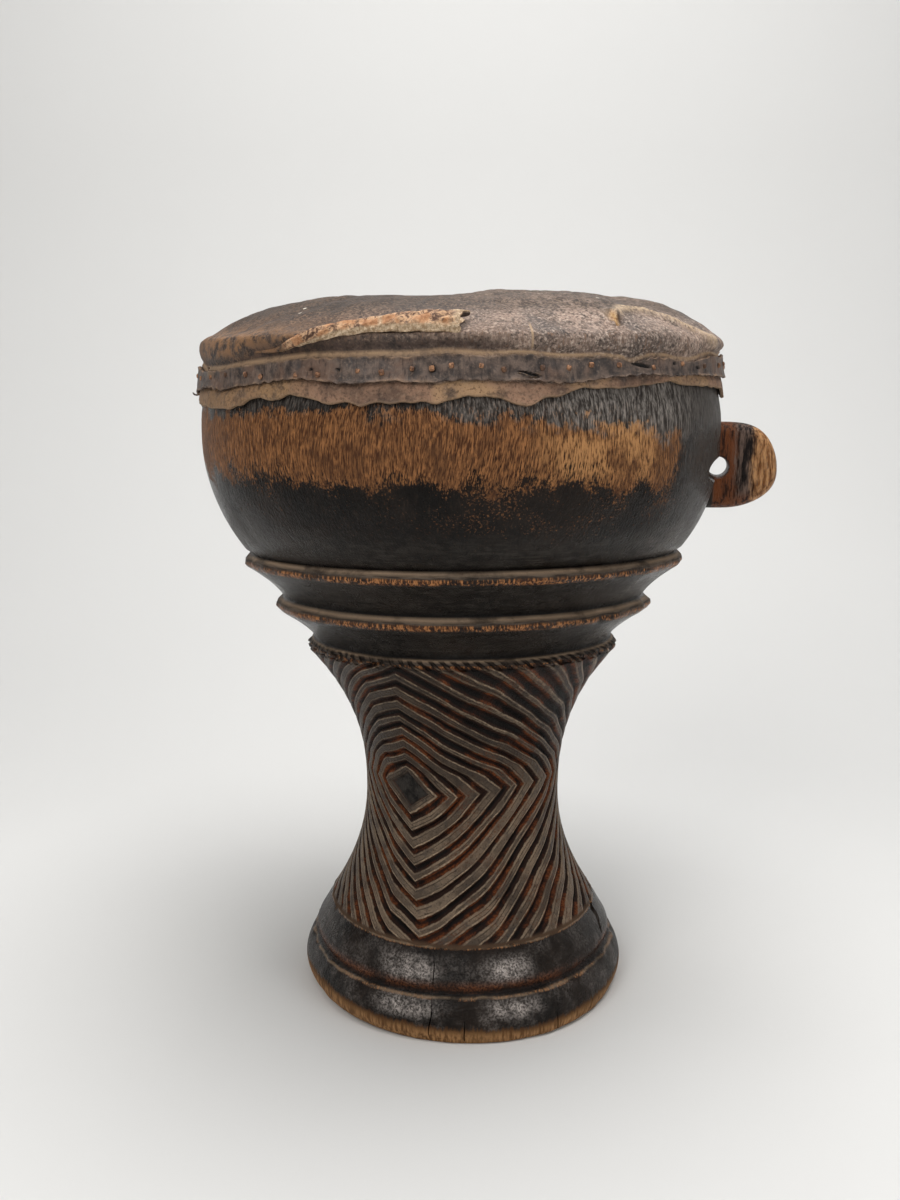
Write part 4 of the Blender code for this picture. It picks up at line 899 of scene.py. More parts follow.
strap = {
    "middle": 0.3273, "width": 0.0106, "thickness": 0.0013, "columns": 900,
    "highEdge": [(-66, .327), (-57.7, .3276), (-48.2, .3282), (-40.9, .3297), (-37.1, .3306), (-32.8, .3311),
        (-23.2, .3317), (-15.3, .3323),
                 (-2.6, .3328), (10, .3322), (17.5, .3317), (22.5, .331), (26.7, .3313), (30.7, .3317),
                 (32.9, .3301), (35, .3312), (37.9, .3323), (41.9, .3323),
                 (46.8, .3308), (50.2, .3309), (55.9, .3332), (67.4, .3337)],
    "lowEdge": [(-100, .3195), (-92, .3172), (-84, .3166), (-74, .318), (-66, .3192), (-59.1, .3194), (-46.4, .32),
        (-40.4, .3218), (-31.1, .3227), (-23.6, .3217), (-14.9, .3216),
                (-2.5, .3223), (10, .3221), (22.5, .3221), (28.7, .3239), (36.5, .3249), (49.4, .3253), (60, .325),
                (68.3, .3246)],
    # slots and holes: degrees, height, half length, half height, slope of the long side, depth
    "slots": [(11.6, .3249, .0058, .001, -.22, .0011), (34.9, .3289, .0067, .001, -.16, .0012),
        (44.6, .33, .0016, .0009, .1, .001), (53.2, .3284, .0026, .0009, -.1, .0011),
              (-5.5, .3264, .001, .0009, 0, .001), (-28.6, .327, .0009, .0008, 0, .0009),
              (-22.9, .3266, .0012, .0008, -.5, .0009),
              (-73.4, .3222, .0016, .0011, .2, .0011), (-82, .3215, .0022, .0008, 0, .001),
              (118, .329, .005, .0009, .1, .001), (201, .3266, .0058, .001, -.15, .001),
              (262, .325, .0035, .0009, .1, .001)],
}


def traced(table, angle, elsewhere):
    # the measured line where there is one, blending over 12 degrees into the drum's own rule elsewhere
    degrees = (np.degrees(angle) + 180.0) % 360.0 - 180.0
    spots = np.array(table)
    known = np.interp(degrees, spots[:, 0], spots[:, 1])
    share = ramp(spots[0, 0] - 12.0, spots[0, 0], degrees) * (1.0 - ramp(spots[-1, 0], spots[-1, 0] + 12.0, degrees))
    return elsewhere + (known - elsewhere) * share


def strapEdges(angle):
    middle = strap["middle"] + drum["strapSlope"] * np.sin(angle)
    rag = 0.00035 * ripple(angle, 0 * angle, 41, (5, 30), 1)
    rag2 = 0.00035 * ripple(angle, 0 * angle, 42, (5, 30), 1)
    return traced(strap["lowEdge"], angle, middle - 0.5 * strap["width"]) + rag, traced(strap["highEdge"], angle,
        middle + 0.5 * strap["width"]) + rag2


def windowed(low, high, soft, degrees):
    return ramp(low - soft, low, degrees) * (1.0 - ramp(high, high + soft, degrees))


headTurn = np.linspace(-math.pi, math.pi, head["columns"], endpoint=False)[None, :]
headDegrees = np.degrees(headTurn)
strapLowEdge, strapHighEdge = strapEdges(headTurn)
collar = strapHighEdge + 0.0006
meanEdge = 0.315 + 0.0035 * np.sin(headTurn)
torn = meanEdge + 0.0013 * ripple(headTurn, 0 * headTurn, 51, (3, 14),
    1) + 0.0006 * np.abs(ripple(headTurn, 0 * headTurn, 52, (15, 40), 1))
skirtEdge = traced(head["edge"], headTurn, torn) + 0.00022 * ripple(headTurn, 0 * headTurn, 53, (40, 110), 1)
skirtRows = 18
steepRows = skirtRows + 40  # up to here a row can be found by its height
down = np.linspace(0.0, 1.0, skirtRows)[:, None]
skirtHeight = skirtEdge + (collar - skirtEdge) * down
skirtRadius = hideRadius(skirtHeight)
shoulderLine = curveThrough(head["shoulder"], 24)[1:]
shoulderHeight = shoulderLine[:, 1:2] + (collar - 0.335) * (1.0 - ramp(0.335, 0.3425, shoulderLine[:, 1:2]))
shoulderRadius = shoulderLine[:, 0:1] + 0 * headTurn
domeRadius = head["domeRadius"] * np.linspace(1.0, 0.0, 60)[1:-1, None] + 0 * headTurn
domeHeight = head["top"] - head["domeDrop"] * (domeRadius / head["domeRadius"]) ** head["domePower"]
baseRadius = np.concatenate([skirtRadius, shoulderRadius, domeRadius])
baseHeight = np.concatenate([skirtHeight, shoulderHeight, domeHeight])
rowRadius, rowHeight = baseRadius[:, 0], np.concatenate([np.linspace(0.315, 0.335, skirtRows), shoulderLine[:, 1],
        domeHeight[:, 0]])
rowArc = np.concatenate([[0.0], np.cumsum(np.hypot(np.diff(rowRadius), np.diff(rowHeight)))])


def arcAt(height):
    return np.interp(height, rowHeight[:steepRows], rowArc[:steepRows])


headX, headY = baseRadius * np.sin(headTurn), -baseRadius * np.cos(headTurn)


def swells(x, y, seed, wavelengths, count=14):
    # sum of sine waves in random directions over the flat of the head
    dice = np.random.default_rng(seed)
    total = 0.0 * x
    for wave in range(count):
        way, length = dice.uniform(0.0, 2.0 * math.pi), dice.uniform(*wavelengths)
        total = total + np.sin(2.0 * math.pi * (x * math.cos(way) + y * math.sin(way)) / length
            + dice.uniform(0.0, 6.283))
    return total / math.sqrt(0.5 * count)


arc = rowArc[:, None]
onDome = ramp(arcAt(0.337), arcAt(0.347), arc)
lift = 0.00055 * swells(headX, headY, 61, (0.035, 0.09)) * onDome + 0.00018 * swells(headX, headY, 62,
    (0.007, 0.018)) * onDome
lift = lift - 0.0012 * ramp(0.02, 0.07, -headX) * onDome - 0.0014 * np.exp(-((headX + 0.028) ** 2
        + (headY + 0.055) ** 2) / 0.026**2)
lift = lift + 0.0009 * ramp(0.03, 0.08, headX) * onDome - 0.0022 * np.exp(-((headX + 0.014) / 0.036) ** 2) * onDome
hollowLow, hollowHigh, hollowAt, hollowDeep = head["hollow"]
# the hollow runs along the shoulder under the pleat and is painted dark as the pleat's shade
hollow = windowed(hollowLow, hollowHigh, 8.0, headDegrees) * hill(arcAt(hollowAt), 0.0048, arc)
lift = lift - hollowDeep * hollow
foldLine = np.array(head["fold"])
foldAt = arcAt(np.interp(headDegrees, foldLine[:, 0], foldLine[:, 1]))
foldShare = windowed(foldLine[0, 0], foldLine[-1, 0], 4.0, headDegrees)
foldCrest = foldShare * hill(0.0, 0.0055, arc - foldAt)
lift = lift + 0.0014 * foldCrest - 0.0006 * foldShare * hill(0.0, 0.006, arc - foldAt + 0.0085)
plugAcross = (headDegrees - head["plug"][0]) * math.radians(1.0) * 0.123 / 0.0024
plugAlong = (arc - arcAt(head["plug"][1])) / 0.0056
plugOff = np.hypot(plugAcross + 0.35 * plugAlong, plugAlong)
plugInside = 1.0 - ramp(0.72, 1.0, plugOff)
lift = lift - 0.0014 * plugInside + 0.0013 * (1.0 - ramp(0.25, 0.72, plugOff)) + 0.0007 * hill(1.15, 0.35, plugOff)
hem = hill(0.0, 0.0013, baseHeight - collar - 0.0006) * (arc > rowArc[8])
lift = lift + 0.0007 * hem
free = ramp(0.0, 0.003, strapLowEdge - baseHeight)  # the part of the skirt below the strap, free to curl
curl = 0.0004 + 0.0004 * ripple(headTurn, 0 * headTurn, 55, (3, 11), 1) + 0.0002 * ripple(headTurn, 0 * headTurn, 56,
    (18, 44), 1)
lift = lift + np.clip(curl, 0.0, None) * free * (1.0 - 0.55
    * down.clip(0, 1)[0]) * (np.arange(len(arc))[:, None] < skirtRows)

tangentR, tangentZ = np.gradient(baseRadius, axis=0), np.gradient(baseHeight, axis=0)
size = np.hypot(tangentR, tangentZ) + 1e-12
normalR, normalZ = tangentZ / size, -tangentR / size
outerRadius, outerHeight = baseRadius + normalR * lift, baseHeight + normalZ * lift
innerRadius, innerHeight = outerRadius - normalR * drum["hideThickness"], outerHeight - normalZ * drum["hideThickness"]
edgeRow = (0.5 * (outerRadius[:1] + innerRadius[:1]), 0.5 * (outerHeight[:1] + innerHeight[:1]) - 0.0003)
keep = np.arange(len(arc) - 1, -1, -2)
insideRadius = np.concatenate([innerRadius[keep], innerRadius[:1]]) if keep[-1] else innerRadius[keep]
insideHeight = np.concatenate([innerHeight[keep], innerHeight[:1]]) if keep[-1] else innerHeight[keep]
outerGrid = aboutAxis(headTurn, outerRadius, outerHeight)
insideGrid = aboutAxis(headTurn, insideRadius, insideHeight)
edgeGrid = aboutAxis(headTurn, *edgeRow)
# rows in order: inside from the crown down to the edge, the torn edge, then the outside up to the crown
skin = np.concatenate([insideGrid, edgeGrid, outerGrid])
rowsOfSkin, columnsOfSkin = skin.shape[:2]
crownLift = float(lift[-1].mean())
crowns = np.array([[axisX, axisY, head["top"] + crownLift - drum["hideThickness"]],
        [axisX, axisY, head["top"] + crownLift]])
count = rowsOfSkin * columnsOfSkin
skinFaces = np.concatenate([
    sheetOfFaces(rowsOfSkin, columnsOfSkin),
    fanOfFaces(np.arange(columnsOfSkin), count, outward=False),
    fanOfFaces(np.arange(columnsOfSkin) + count - columnsOfSkin, count + 1),
])


def skinValues(values):
    # spread a value known on the outside over the whole skin: nothing inside, the same at the edge, nothing at the
    # crowns
    values = np.broadcast_to(values, outerRadius.shape)
    return np.concatenate([np.zeros(insideRadius.shape).ravel(), values[:1].ravel(), values.ravel(),
            [0.0, values[-1, 0]]])


# the pleat is a flattened tube lying on the shoulder, open and torn at its right end
pleatLine = np.array(head["pleat"])
pleatSteps, pleatSides, tornSteps = 72, 36, 16
s = np.linspace(0.0, 1.0, pleatSteps)
smooth = curveThrough(np.stack([pleatLine[:, 0] * 0.0022, pleatLine[:, 1], pleatLine[:, 2], pleatLine[:, 3]], -1),
    pleatSteps)
pleatTurn, pleatHeight, pleatHalf, pleatUp = smooth[:, 0] / 0.0022 * math.pi / 180.0, smooth[:, 1], smooth[:,
    2], smooth[:, 3]
pleatArc = arcAt(pleatHeight)
pick = slice(skirtRows - 2, steepRows)
pleatRadius = np.interp(pleatArc, rowArc[pick], baseRadius[pick, 0])
slopeR, slopeZ = np.interp(pleatArc, rowArc[pick], normalR[pick, 200]), np.interp(pleatArc, rowArc[pick],
    normalZ[pick, 200])
outward = np.stack([slopeR * np.sin(pleatTurn), -slopeR * np.cos(pleatTurn), slopeZ], -1)
centreLine = aboutAxis(pleatTurn, pleatRadius, pleatHeight)
ahead = np.gradient(centreLine, axis=0)
ahead /= np.linalg.norm(ahead, axis=1)[:, None]
upslope = np.cross(outward, ahead)
swing = np.linspace(0.0, 2.0 * math.pi, pleatSides, endpoint=False)
cosine, sine = np.cos(swing), np.sin(swing)


def pleatRings(k, thinner, tornBy):
    half, up = (pleatHalf[k] - thinner)[:, None, None], (pleatUp[k] - 0.8 * thinner)[:, None, None]
    crease = 1.0 + 0.07 * np.sin(7.0 * swing + 30.0 * s[k][:, None] * 2.0)[..., None] + 0.04 * ripple(swing[None, :],
        s[k][:, None], 71, (2, 9), 60)[..., None]
    rings = centreLine[k][:, None, :] + half * crease * cosine[None, :, None] * upslope[k][:, None, :]
    rings = rings + up * crease * (sine[None, :, None] + 0.22) * outward[k][:, None, :]
    return rings + (tornBy * np.ones((len(k), len(swing))))[..., None] * ahead[k][:, None, :]


tip = hill(0.15 * math.pi, 0.9, (swing + math.pi) % (2 * math.pi) - math.pi) ** 2
tornBy = 0.0034 * tip + 0.0006 * ripple(swing, 0 * swing, 73, (3, 9), 1)
k = np.arange(pleatSteps)
tornRows = ramp(0.93, 1.0, s[k])[:, None] * tornBy[None, :]
back = np.arange(pleatSteps - 1, pleatSteps - 1 - tornSteps, -1)
tornBack = ramp(0.93, 1.0, s[back])[:, None] * tornBy[None, :]
pleatGrid = np.concatenate([pleatRings(k, 0.0, tornRows), pleatRings(back, 0.0011, tornBack)])
pleatRows = len(pleatGrid)
ends = np.stack([pleatGrid[0].mean(0), pleatGrid[-1].mean(0)])
pleatFaces = np.concatenate([
    sheetOfFaces(pleatRows, pleatSides),
    fanOfFaces(np.arange(pleatSides), pleatRows * pleatSides, outward=False),
    fanOfFaces(np.arange(pleatSides) + (pleatRows - 1) * pleatSides, pleatRows * pleatSides + 1),
])
insideTube = np.concatenate([np.zeros(pleatSteps), np.ones(tornSteps)])[:, None]
along = np.concatenate([s, s[back]])[:, None]
frameLine = hill(0.665, 0.012, along)  # the pale crease across the pleat
rawTop = np.clip(0.8 + 0.7 * sine + 0.35 * cosine, 0.0, 1.0)[None, :] * ramp(0.12, 0.3, along) * (1.0 - insideTube)
paleEdge = np.clip(hill(-0.97, 0.26, cosine) * (sine > -0.6) + 0.6 * hill(0.9, 0.16, cosine) * ramp(0.6, 0.66, along)
    + frameLine, 0.0, 1.0) * ramp(0.1, 0.3, along) + ramp(0.955, 0.985, along)
paleEdge = np.clip(paleEdge, 0.0, 1.0) * (1.0 - insideTube)


def pleatValues(values):
    values = np.broadcast_to(values, (pleatRows, pleatSides))
    return np.concatenate([values.ravel(), [values[0, 0], values[-1, 0]]])


hidePoints, hideFaces = joined([(np.concatenate([skin.reshape(-1, 3), crowns]), skinFaces),
        (np.concatenate([pleatGrid.reshape(-1, 3), ends]), pleatFaces)])
brink = (np.arange(len(arc))[:, None] < 1) * 1.0
below = ramp(0.0, 0.0006, strapLowEdge - baseHeight)
bareSkin, barePleat = 0 * skinValues(hem), 0 * pleatValues(along)
hideValues = {
    "hem": np.concatenate([skinValues(hem), barePleat]),
    "skirt": np.concatenate([skinValues(below), barePleat]),
    "brink": np.concatenate([skinValues(brink), barePleat]),
    "foldCrest": np.concatenate([skinValues(foldCrest), barePleat]),
    "plug": np.concatenate([skinValues(1.0 - ramp(0.45, 0.85, plugOff)), barePleat]),
    "tear": np.concatenate([skinValues(hill(0.92, 0.25, plugOff)), barePleat]),
    "dark": np.concatenate([skinValues(hollow), pleatValues(insideTube)]),
    "raw": np.concatenate([bareSkin, pleatValues(rawTop)]),
    "pale": np.concatenate([bareSkin, pleatValues(paleEdge)]),
    "lining": np.concatenate([np.ones(insideRadius.size), np.zeros(len(hidePoints) - insideRadius.size)]),
}


def makeHide():
    # aged rawhide: mottled grey-brown, fine upright hair marks on the shoulder, tan where it is worn or torn
    material, tree, where = newMaterial("agedHide")
    split = tree.nodes.new("ShaderNodeSeparateXYZ")
    tree.links.new(where, split.inputs[0])
    x, y, z = split.outputs
    turn = maths(tree, "ARCTAN2", x, maths(tree, "MULTIPLY", y, -1.0))
    hemLine, skirtMask, brinkMask, crestTanAndHighlight, plugMask, tearMask, pleatShadeMask, rawMask, paleMask, liningMask = (
        painted(tree, n) for n in ("hem", "skirt", "brink", "foldCrest", "plug", "tear", "dark", "raw", "pale",
            "lining"))
    blotch = clouds(tree, where, 26.0, 6.0, 0.62)
    patch = clouds(tree, moved(tree, where, (0.2, 0.1, 0.0)), 85.0, 5.0, 0.65)
    fine = clouds(tree, where, 760.0, 4.0, 0.68)
    mottle = clouds(tree, moved(tree, where, (0.3, 0.0, 0.1)), 230.0, 4.0, 0.66)
    hair = clouds(tree, moved(tree, where, size=(1.0, 1.0, 0.2)), 760.0, 4.0, 0.65)
    pores = cells(tree, where, 900.0)

    # darker and browner on the left, paler and greyer on the lug's side, peppered all over with fine light and dark
    lugWay = fade(tree, foldedTurn(tree, turn), -0.65, 0.55)
    base = mixed(tree, fade(tree, blotch, 0.38, 0.62), (0.042, 0.028, 0.022), (0.135, 0.084, 0.058))
    basePale = mixed(tree, fade(tree, blotch, 0.36, 0.6), (0.15, 0.112, 0.093), (0.42, 0.3, 0.235))
    colour = mixed(tree, lugWay, base, basePale)
    colour = mixed(tree, fade(tree, mottle, 0.5, 0.66, 0.0, 0.75), colour, (0.06, 0.045, 0.038))
    colour = mixed(tree, fade(tree, patch, 0.5, 0.7, 0.0, 0.55), colour, (0.12, 0.07, 0.045))
    colour = mixed(tree, fade(tree, fine, 0.51, 0.64, 0.0, 0.9), colour,
        mixed(tree, lugWay, (0.26, 0.165, 0.105), (0.56, 0.45, 0.37)))
    colour = mixed(tree, fade(tree, fine, 0.48, 0.36, 0.0, 0.8), colour, (0.02, 0.0145, 0.012))
    high = fade(tree, z, 0.348, 0.355)
    topColour = mixed(tree, fade(tree, fine, 0.4, 0.62), (0.026, 0.018, 0.014),
        mixed(tree, fade(tree, blotch, 0.38, 0.6), (0.068, 0.045, 0.032), (0.14, 0.098, 0.071)))
    colour = mixed(tree, maths(tree, "MULTIPLY", high, fade(tree, mottle, 0.36, 0.6, 0.6, 0.9)), colour, topColour)
    # orange-brown hair marks low on the shoulder, above the strap
    band = maths(tree, "MULTIPLY", fade(tree, z, 0.331, 0.336), fade(tree, z, 0.339, 0.35, 1.0, 0.0))
    rust = maths(tree, "MULTIPLY", band, fade(tree, hair, 0.52, 0.66, 0.0, 0.95))
    colour = mixed(tree, maths(tree, "MULTIPLY", rust, fade(tree, patch, 0.4, 0.58, 0.25, 1.0)), colour,
        (0.44, 0.245, 0.145))
    colour = mixed(tree, maths(tree, "MULTIPLY", fade(tree, hair, 0.42, 0.58, 0.0, 0.55),
            fade(tree, z, 0.352, 0.344)), colour, (0.075, 0.06, 0.053))
    # worn brown beside the left shoulder
    leftward = fade(tree, maths(tree, "COSINE", maths(tree, "SUBTRACT", turn, -0.92)), 0.86, 1.0)
    colour = mixed(tree, maths(tree, "MULTIPLY", maths(tree, "MULTIPLY", leftward, band),
            fade(tree, mottle, 0.4, 0.58)), colour, (0.27, 0.145, 0.072))
    # painted shade: darker in the hollow under the pleat and inside the pleat's tube
    colour = mixed(tree, maths(tree, "MULTIPLY", pleatShadeMask, 0.75), colour,
        mixed(tree, fade(tree, mottle, 0.4, 0.62), (0.026, 0.02, 0.019), (0.085, 0.058, 0.048)))
    # pale hem above the strap, tan crest of the fold lightened by a painted highlight
    colour = mixed(tree, maths(tree, "MULTIPLY", hemLine, fade(tree, mottle, 0.34, 0.54, 0.5, 1.0)), colour,
        (0.5, 0.33, 0.195))
    colour = mixed(tree, maths(tree, "MULTIPLY", crestTanAndHighlight, fade(tree, hair, 0.4, 0.58, 0.25, 0.95)), colour,
        (0.56, 0.41, 0.27))
    # pleat: rough orange-brown where the skin has rubbed off, pale tan along its lower edge and at the tear
    rawHide = mixed(tree, fade(tree, clouds(tree, where, 260.0, 5.0, 0.7, 1.5), 0.4, 0.6), (0.105, 0.053, 0.034),
        (0.7, 0.43, 0.25))
    rawHide = mixed(tree, fade(tree, clouds(tree, where, 120.0, 3.0), 0.52, 0.62, 0.0, 0.7), rawHide,
        (0.52, 0.24, 0.105))
    colour = mixed(tree, fade(tree, rawMask, 0.25, 0.7), colour, rawHide)
    paleHide = mixed(tree, fade(tree, fine, 0.4, 0.62), (0.42, 0.28, 0.165), (0.78, 0.6, 0.41))
    colour = mixed(tree, maths(tree, "MULTIPLY", paleMask, fade(tree, patch, 0.28, 0.48, 0.35, 1.0)), colour,
        paleHide)
    colour = mixed(tree, tearMask, colour, (0.055, 0.03, 0.018))
    colour = mixed(tree, plugMask, colour, mixed(tree, fade(tree, fine, 0.4, 0.6), (0.3, 0.145, 0.045),
            (0.52, 0.32, 0.14)))
    # skirt: browner and smoother, light tan at the left, greyer in places, pale at its torn edge
    skirtColour = mixed(tree, fade(tree, blotch, 0.4, 0.6), (0.1, 0.06, 0.043), (0.35, 0.205, 0.132))
    tanSpot = fade(tree, clouds(tree, moved(tree, where, (0.0, 0.3, 0.1), (1.0, 1.0, 0.5)), 34.0, 2.0), 0.52, 0.64)
    skirtColour = mixed(tree, tanSpot, skirtColour, (0.43, 0.265, 0.145))
    leftTan = fade(tree, maths(tree, "COSINE", maths(tree, "SUBTRACT", turn, -0.95)), 0.88, 0.97)
    skirtColour = mixed(tree, maths(tree, "MULTIPLY", leftTan, 0.75), skirtColour, (0.29, 0.17, 0.082))
    skirtColour = mixed(tree, fade(tree, patch, 0.54, 0.7, 0.0, 0.7), skirtColour, (0.085, 0.068, 0.062))
    skirtColour = mixed(tree, fade(tree, mottle, 0.5, 0.66, 0.0, 0.65), skirtColour, (0.07, 0.046, 0.034))
    skirtColour = mixed(tree, fade(tree, fine, 0.52, 0.68, 0.0, 0.45), skirtColour, (0.36, 0.25, 0.17))
    skirtColour = mixed(tree, fade(tree, fine, 0.47, 0.36, 0.0, 0.55), skirtColour, (0.035, 0.022, 0.016))
    colour = mixed(tree, skirtMask, colour, skirtColour)
    colour = mixed(tree, maths(tree, "MULTIPLY", brinkMask, 0.6), colour, (0.24, 0.16, 0.095))
    # two thin pale drips down the front and a few lime specks
    drip = maths(tree, "ABSOLUTE", maths(tree, "SUBTRACT", turn,
            maths(tree, "MULTIPLY_ADD", maths(tree, "SUBTRACT", clouds(tree, where, 60.0, 1.0), 0.5), 0.02, 0.218)))
    drip = maths(tree, "MULTIPLY", fade(tree, drip, 0.0028, 0.0055, 0.75, 0.0),
        maths(tree, "MULTIPLY", fade(tree, z, 0.3345, 0.336), fade(tree, z, 0.3445, 0.3465, 1.0, 0.0)))
    colour = mixed(tree, maths(tree, "MULTIPLY", drip, fade(tree, y, -0.02, -0.03)), colour, (0.42, 0.29, 0.18))
    lime = fade(tree, cells(tree, where, 62.0), 0.045, 0.06, 1.0, 0.0)
    lime = maths(tree, "MULTIPLY", lime, fade(tree, clouds(tree, moved(tree, where, (0.05, 0.0, 0.0)), 16.0, 1.0),
            0.53, 0.56))
    colour = mixed(tree, lime, colour, (0.66, 0.6, 0.5))
    colour = mixed(tree, liningMask, colour, (0.17, 0.12, 0.08))

    roughness = fade(tree, blotch, 0.35, 0.65, 0.52, 0.72)
    roughness = maths(tree, "MULTIPLY_ADD", maths(tree, "SUBTRACT", fine, 0.5), 0.3, roughness)
    relief = maths(tree, "MULTIPLY_ADD", patch, 1.2, maths(tree, "MULTIPLY", fine, 0.6))
    relief = maths(tree, "MULTIPLY_ADD", mottle, 0.7, relief)
    relief = maths(tree, "MULTIPLY_ADD", hair, 0.5, relief)
    relief = maths(tree, "MULTIPLY_ADD", pores, 0.25, relief)
    rawRelief = maths(tree, "MULTIPLY", fade(tree, rawMask, 0.2, 0.7), clouds(tree, where, 380.0, 5.0, 0.75, 1.0))
    relief = maths(tree, "MULTIPLY_ADD", rawRelief, 2.2, relief)
    finishMaterial(tree, colour, roughness, relief, 0.00055, 0.25)
    return material


hide = makePiece("hideHead", hidePoints, hideFaces, makeHide(), ("drum_head",), 62)
paint(hide.data, **hideValues)
print("hide head", len(hideFaces), "triangles")

# the rim strap: a band of hide with worn edges, slots and loose fibres, a closed ring of its own thickness
strapTurn = np.linspace(-math.pi, math.pi, strap["columns"], endpoint=False)[None, :]
strapDegrees = np.degrees(strapTurn)
edgeLow, edgeHigh = strapEdges(strapTurn)
edgeLow = edgeLow + 0.00018 * ripple(strapTurn, 0 * strapTurn, 43, (60, 170), 1)
edgeHigh = edgeHigh + 0.00018 * ripple(strapTurn, 0 * strapTurn, 44, (60, 170), 1)
# section as (share of the width, share of the thickness), up the outside and down the inside
section = np.array([(0.0, 0.3), (0.004, 0.78), (0.03, 1.0)] + [(u, 1.0) for u in np.linspace(0.08, 0.92, 17)] +
                   [(0.97, 1.0), (0.996, 0.78), (1.0, 0.3), (0.97, 0.0), (0.75, 0.0), (0.5, 0.0), (0.25, 0.0),
                       (0.03, 0.0)])
across, through = section[:, 0:1], section[:, 1:2]
bandHeight = edgeLow + (edgeHigh - edgeLow) * across
outerSide = (through > 0.5) * ramp(0.0, 0.03, across) * (1.0 - ramp(0.97, 1.0, across))
cutIn = 0.0 * bandHeight
for degrees, slotHeight, halfLong, halfHigh, slope, deep in strap["slots"]:
    offAround = ((strapDegrees - degrees + 180.0) % 360.0 - 180.0) * math.radians(1.0) * 0.1335
    offUp = bandHeight - slotHeight - slope * offAround
    inside = 1.0 - ramp(0.55, 1.0, np.hypot(offAround / halfLong, offUp / halfHigh))
    cutIn = np.maximum(cutIn, deep / 0.0011 * inside)
waves = 0.00022 * ripple(strapTurn, bandHeight, 45, (6, 24), 500) + 0.0001 * ripple(strapTurn, bandHeight, 46,
    (40, 120), 900)
edgeCurl = 0.0005 * hill(0.0, 0.16, across) * (0.7 + 0.6 * ripple(strapTurn, 0 * strapTurn, 47, (4, 16),
        1)).clip(0.1, None)
edgeCurl = edgeCurl + 0.0003 * hill(1.0, 0.14, across) * (0.6 + 0.7
    * ripple(strapTurn, 0 * strapTurn, 48, (4, 16), 1)).clip(0.0, None)
knot = hill(-61.0, 3.2, strapDegrees) * hill(0.3263, 0.0042, bandHeight)
bandRadius = hideRadius(bandHeight) + drum["gap"] + 0.00025 + edgeCurl + through * strap["thickness"] + outerSide * (waves - 0.0011 * cutIn + 0.0011 * knot)
bandGrid = aboutAxis(strapTurn, bandRadius, bandHeight)
bandRows = len(section)
# loose ends: (degrees, height) at the root, (outwards, sideways, up) of each step, thickness at the root
looseEnds = [
    {"root": (-88.0, 0.3162), "steps": [(0.0012, -0.0004, 0.0002), (0.0016, 0.0002, -0.0006),
            (0.0012, 0.0002, 0.0004), (0.0008, 0.0, 0.0012)], "thick": 0.0011},
    {"root": (-94.0, 0.3195), "steps": [(0.0014, 0.0002, 0.0004), (0.0016, 0.0004, -0.0004), (0.001, 0.0, -0.001)],
        "thick": 0.0009},
    {"root": (-23.6, 0.3268), "steps": [(0.0006, 0.0014, -0.0006), (0.0004, 0.002, -0.0012),
            (-0.0002, 0.0018, -0.0014), (-0.0004, 0.0014, -0.0012), (-0.0006, 0.001, -0.0008)], "thick": 0.00055},
    {"root": (-23.2, 0.3262), "steps": [(0.0005, 0.0016, -0.0013), (0.0005, 0.0018, -0.0008),
            (-0.0001, 0.0018, -0.0015), (-0.0004, 0.0014, -0.0008), (-0.0006, 0.0008, -0.001)], "thick": 0.0005},
    {"root": (9.2, 0.3252), "steps": [(0.0008, 0.0014, 0.0004), (0.0006, 0.0022, -0.0006), (0.0, 0.0022, -0.001),
            (-0.0004, 0.002, -0.0004), (-0.0006, 0.0014, 0.0004)], "thick": 0.0006},
    {"root": (14.6, 0.3236), "steps": [(0.0007, -0.0014, 0.0006), (0.0004, -0.0018, 0.001), (0.0, -0.0018, 0.0004),
            (-0.0006, -0.0014, -0.0004)], "thick": 0.0005},
    {"root": (-63.6, 0.3285), "steps": [(0.001, 0.001, 0.0004), (0.0006, 0.0018, 0.0), (0.0, 0.0014, -0.0012),
            (-0.0006, 0.0002, -0.0016), (-0.0006, -0.0012, -0.0008)], "thick": 0.0006},
    {"root": (142.0, 0.3262), "steps": [(0.0012, 0.0006, -0.0004), (0.0012, 0.0012, -0.0012),
            (0.0004, 0.001, -0.0018)], "thick": 0.0007},
    {"root": (238.0, 0.324), "steps": [(0.0012, -0.0006, 0.0002), (0.0014, -0.0012, -0.001),
            (0.0006, -0.0008, -0.0016)], "thick": 0.0007},
]


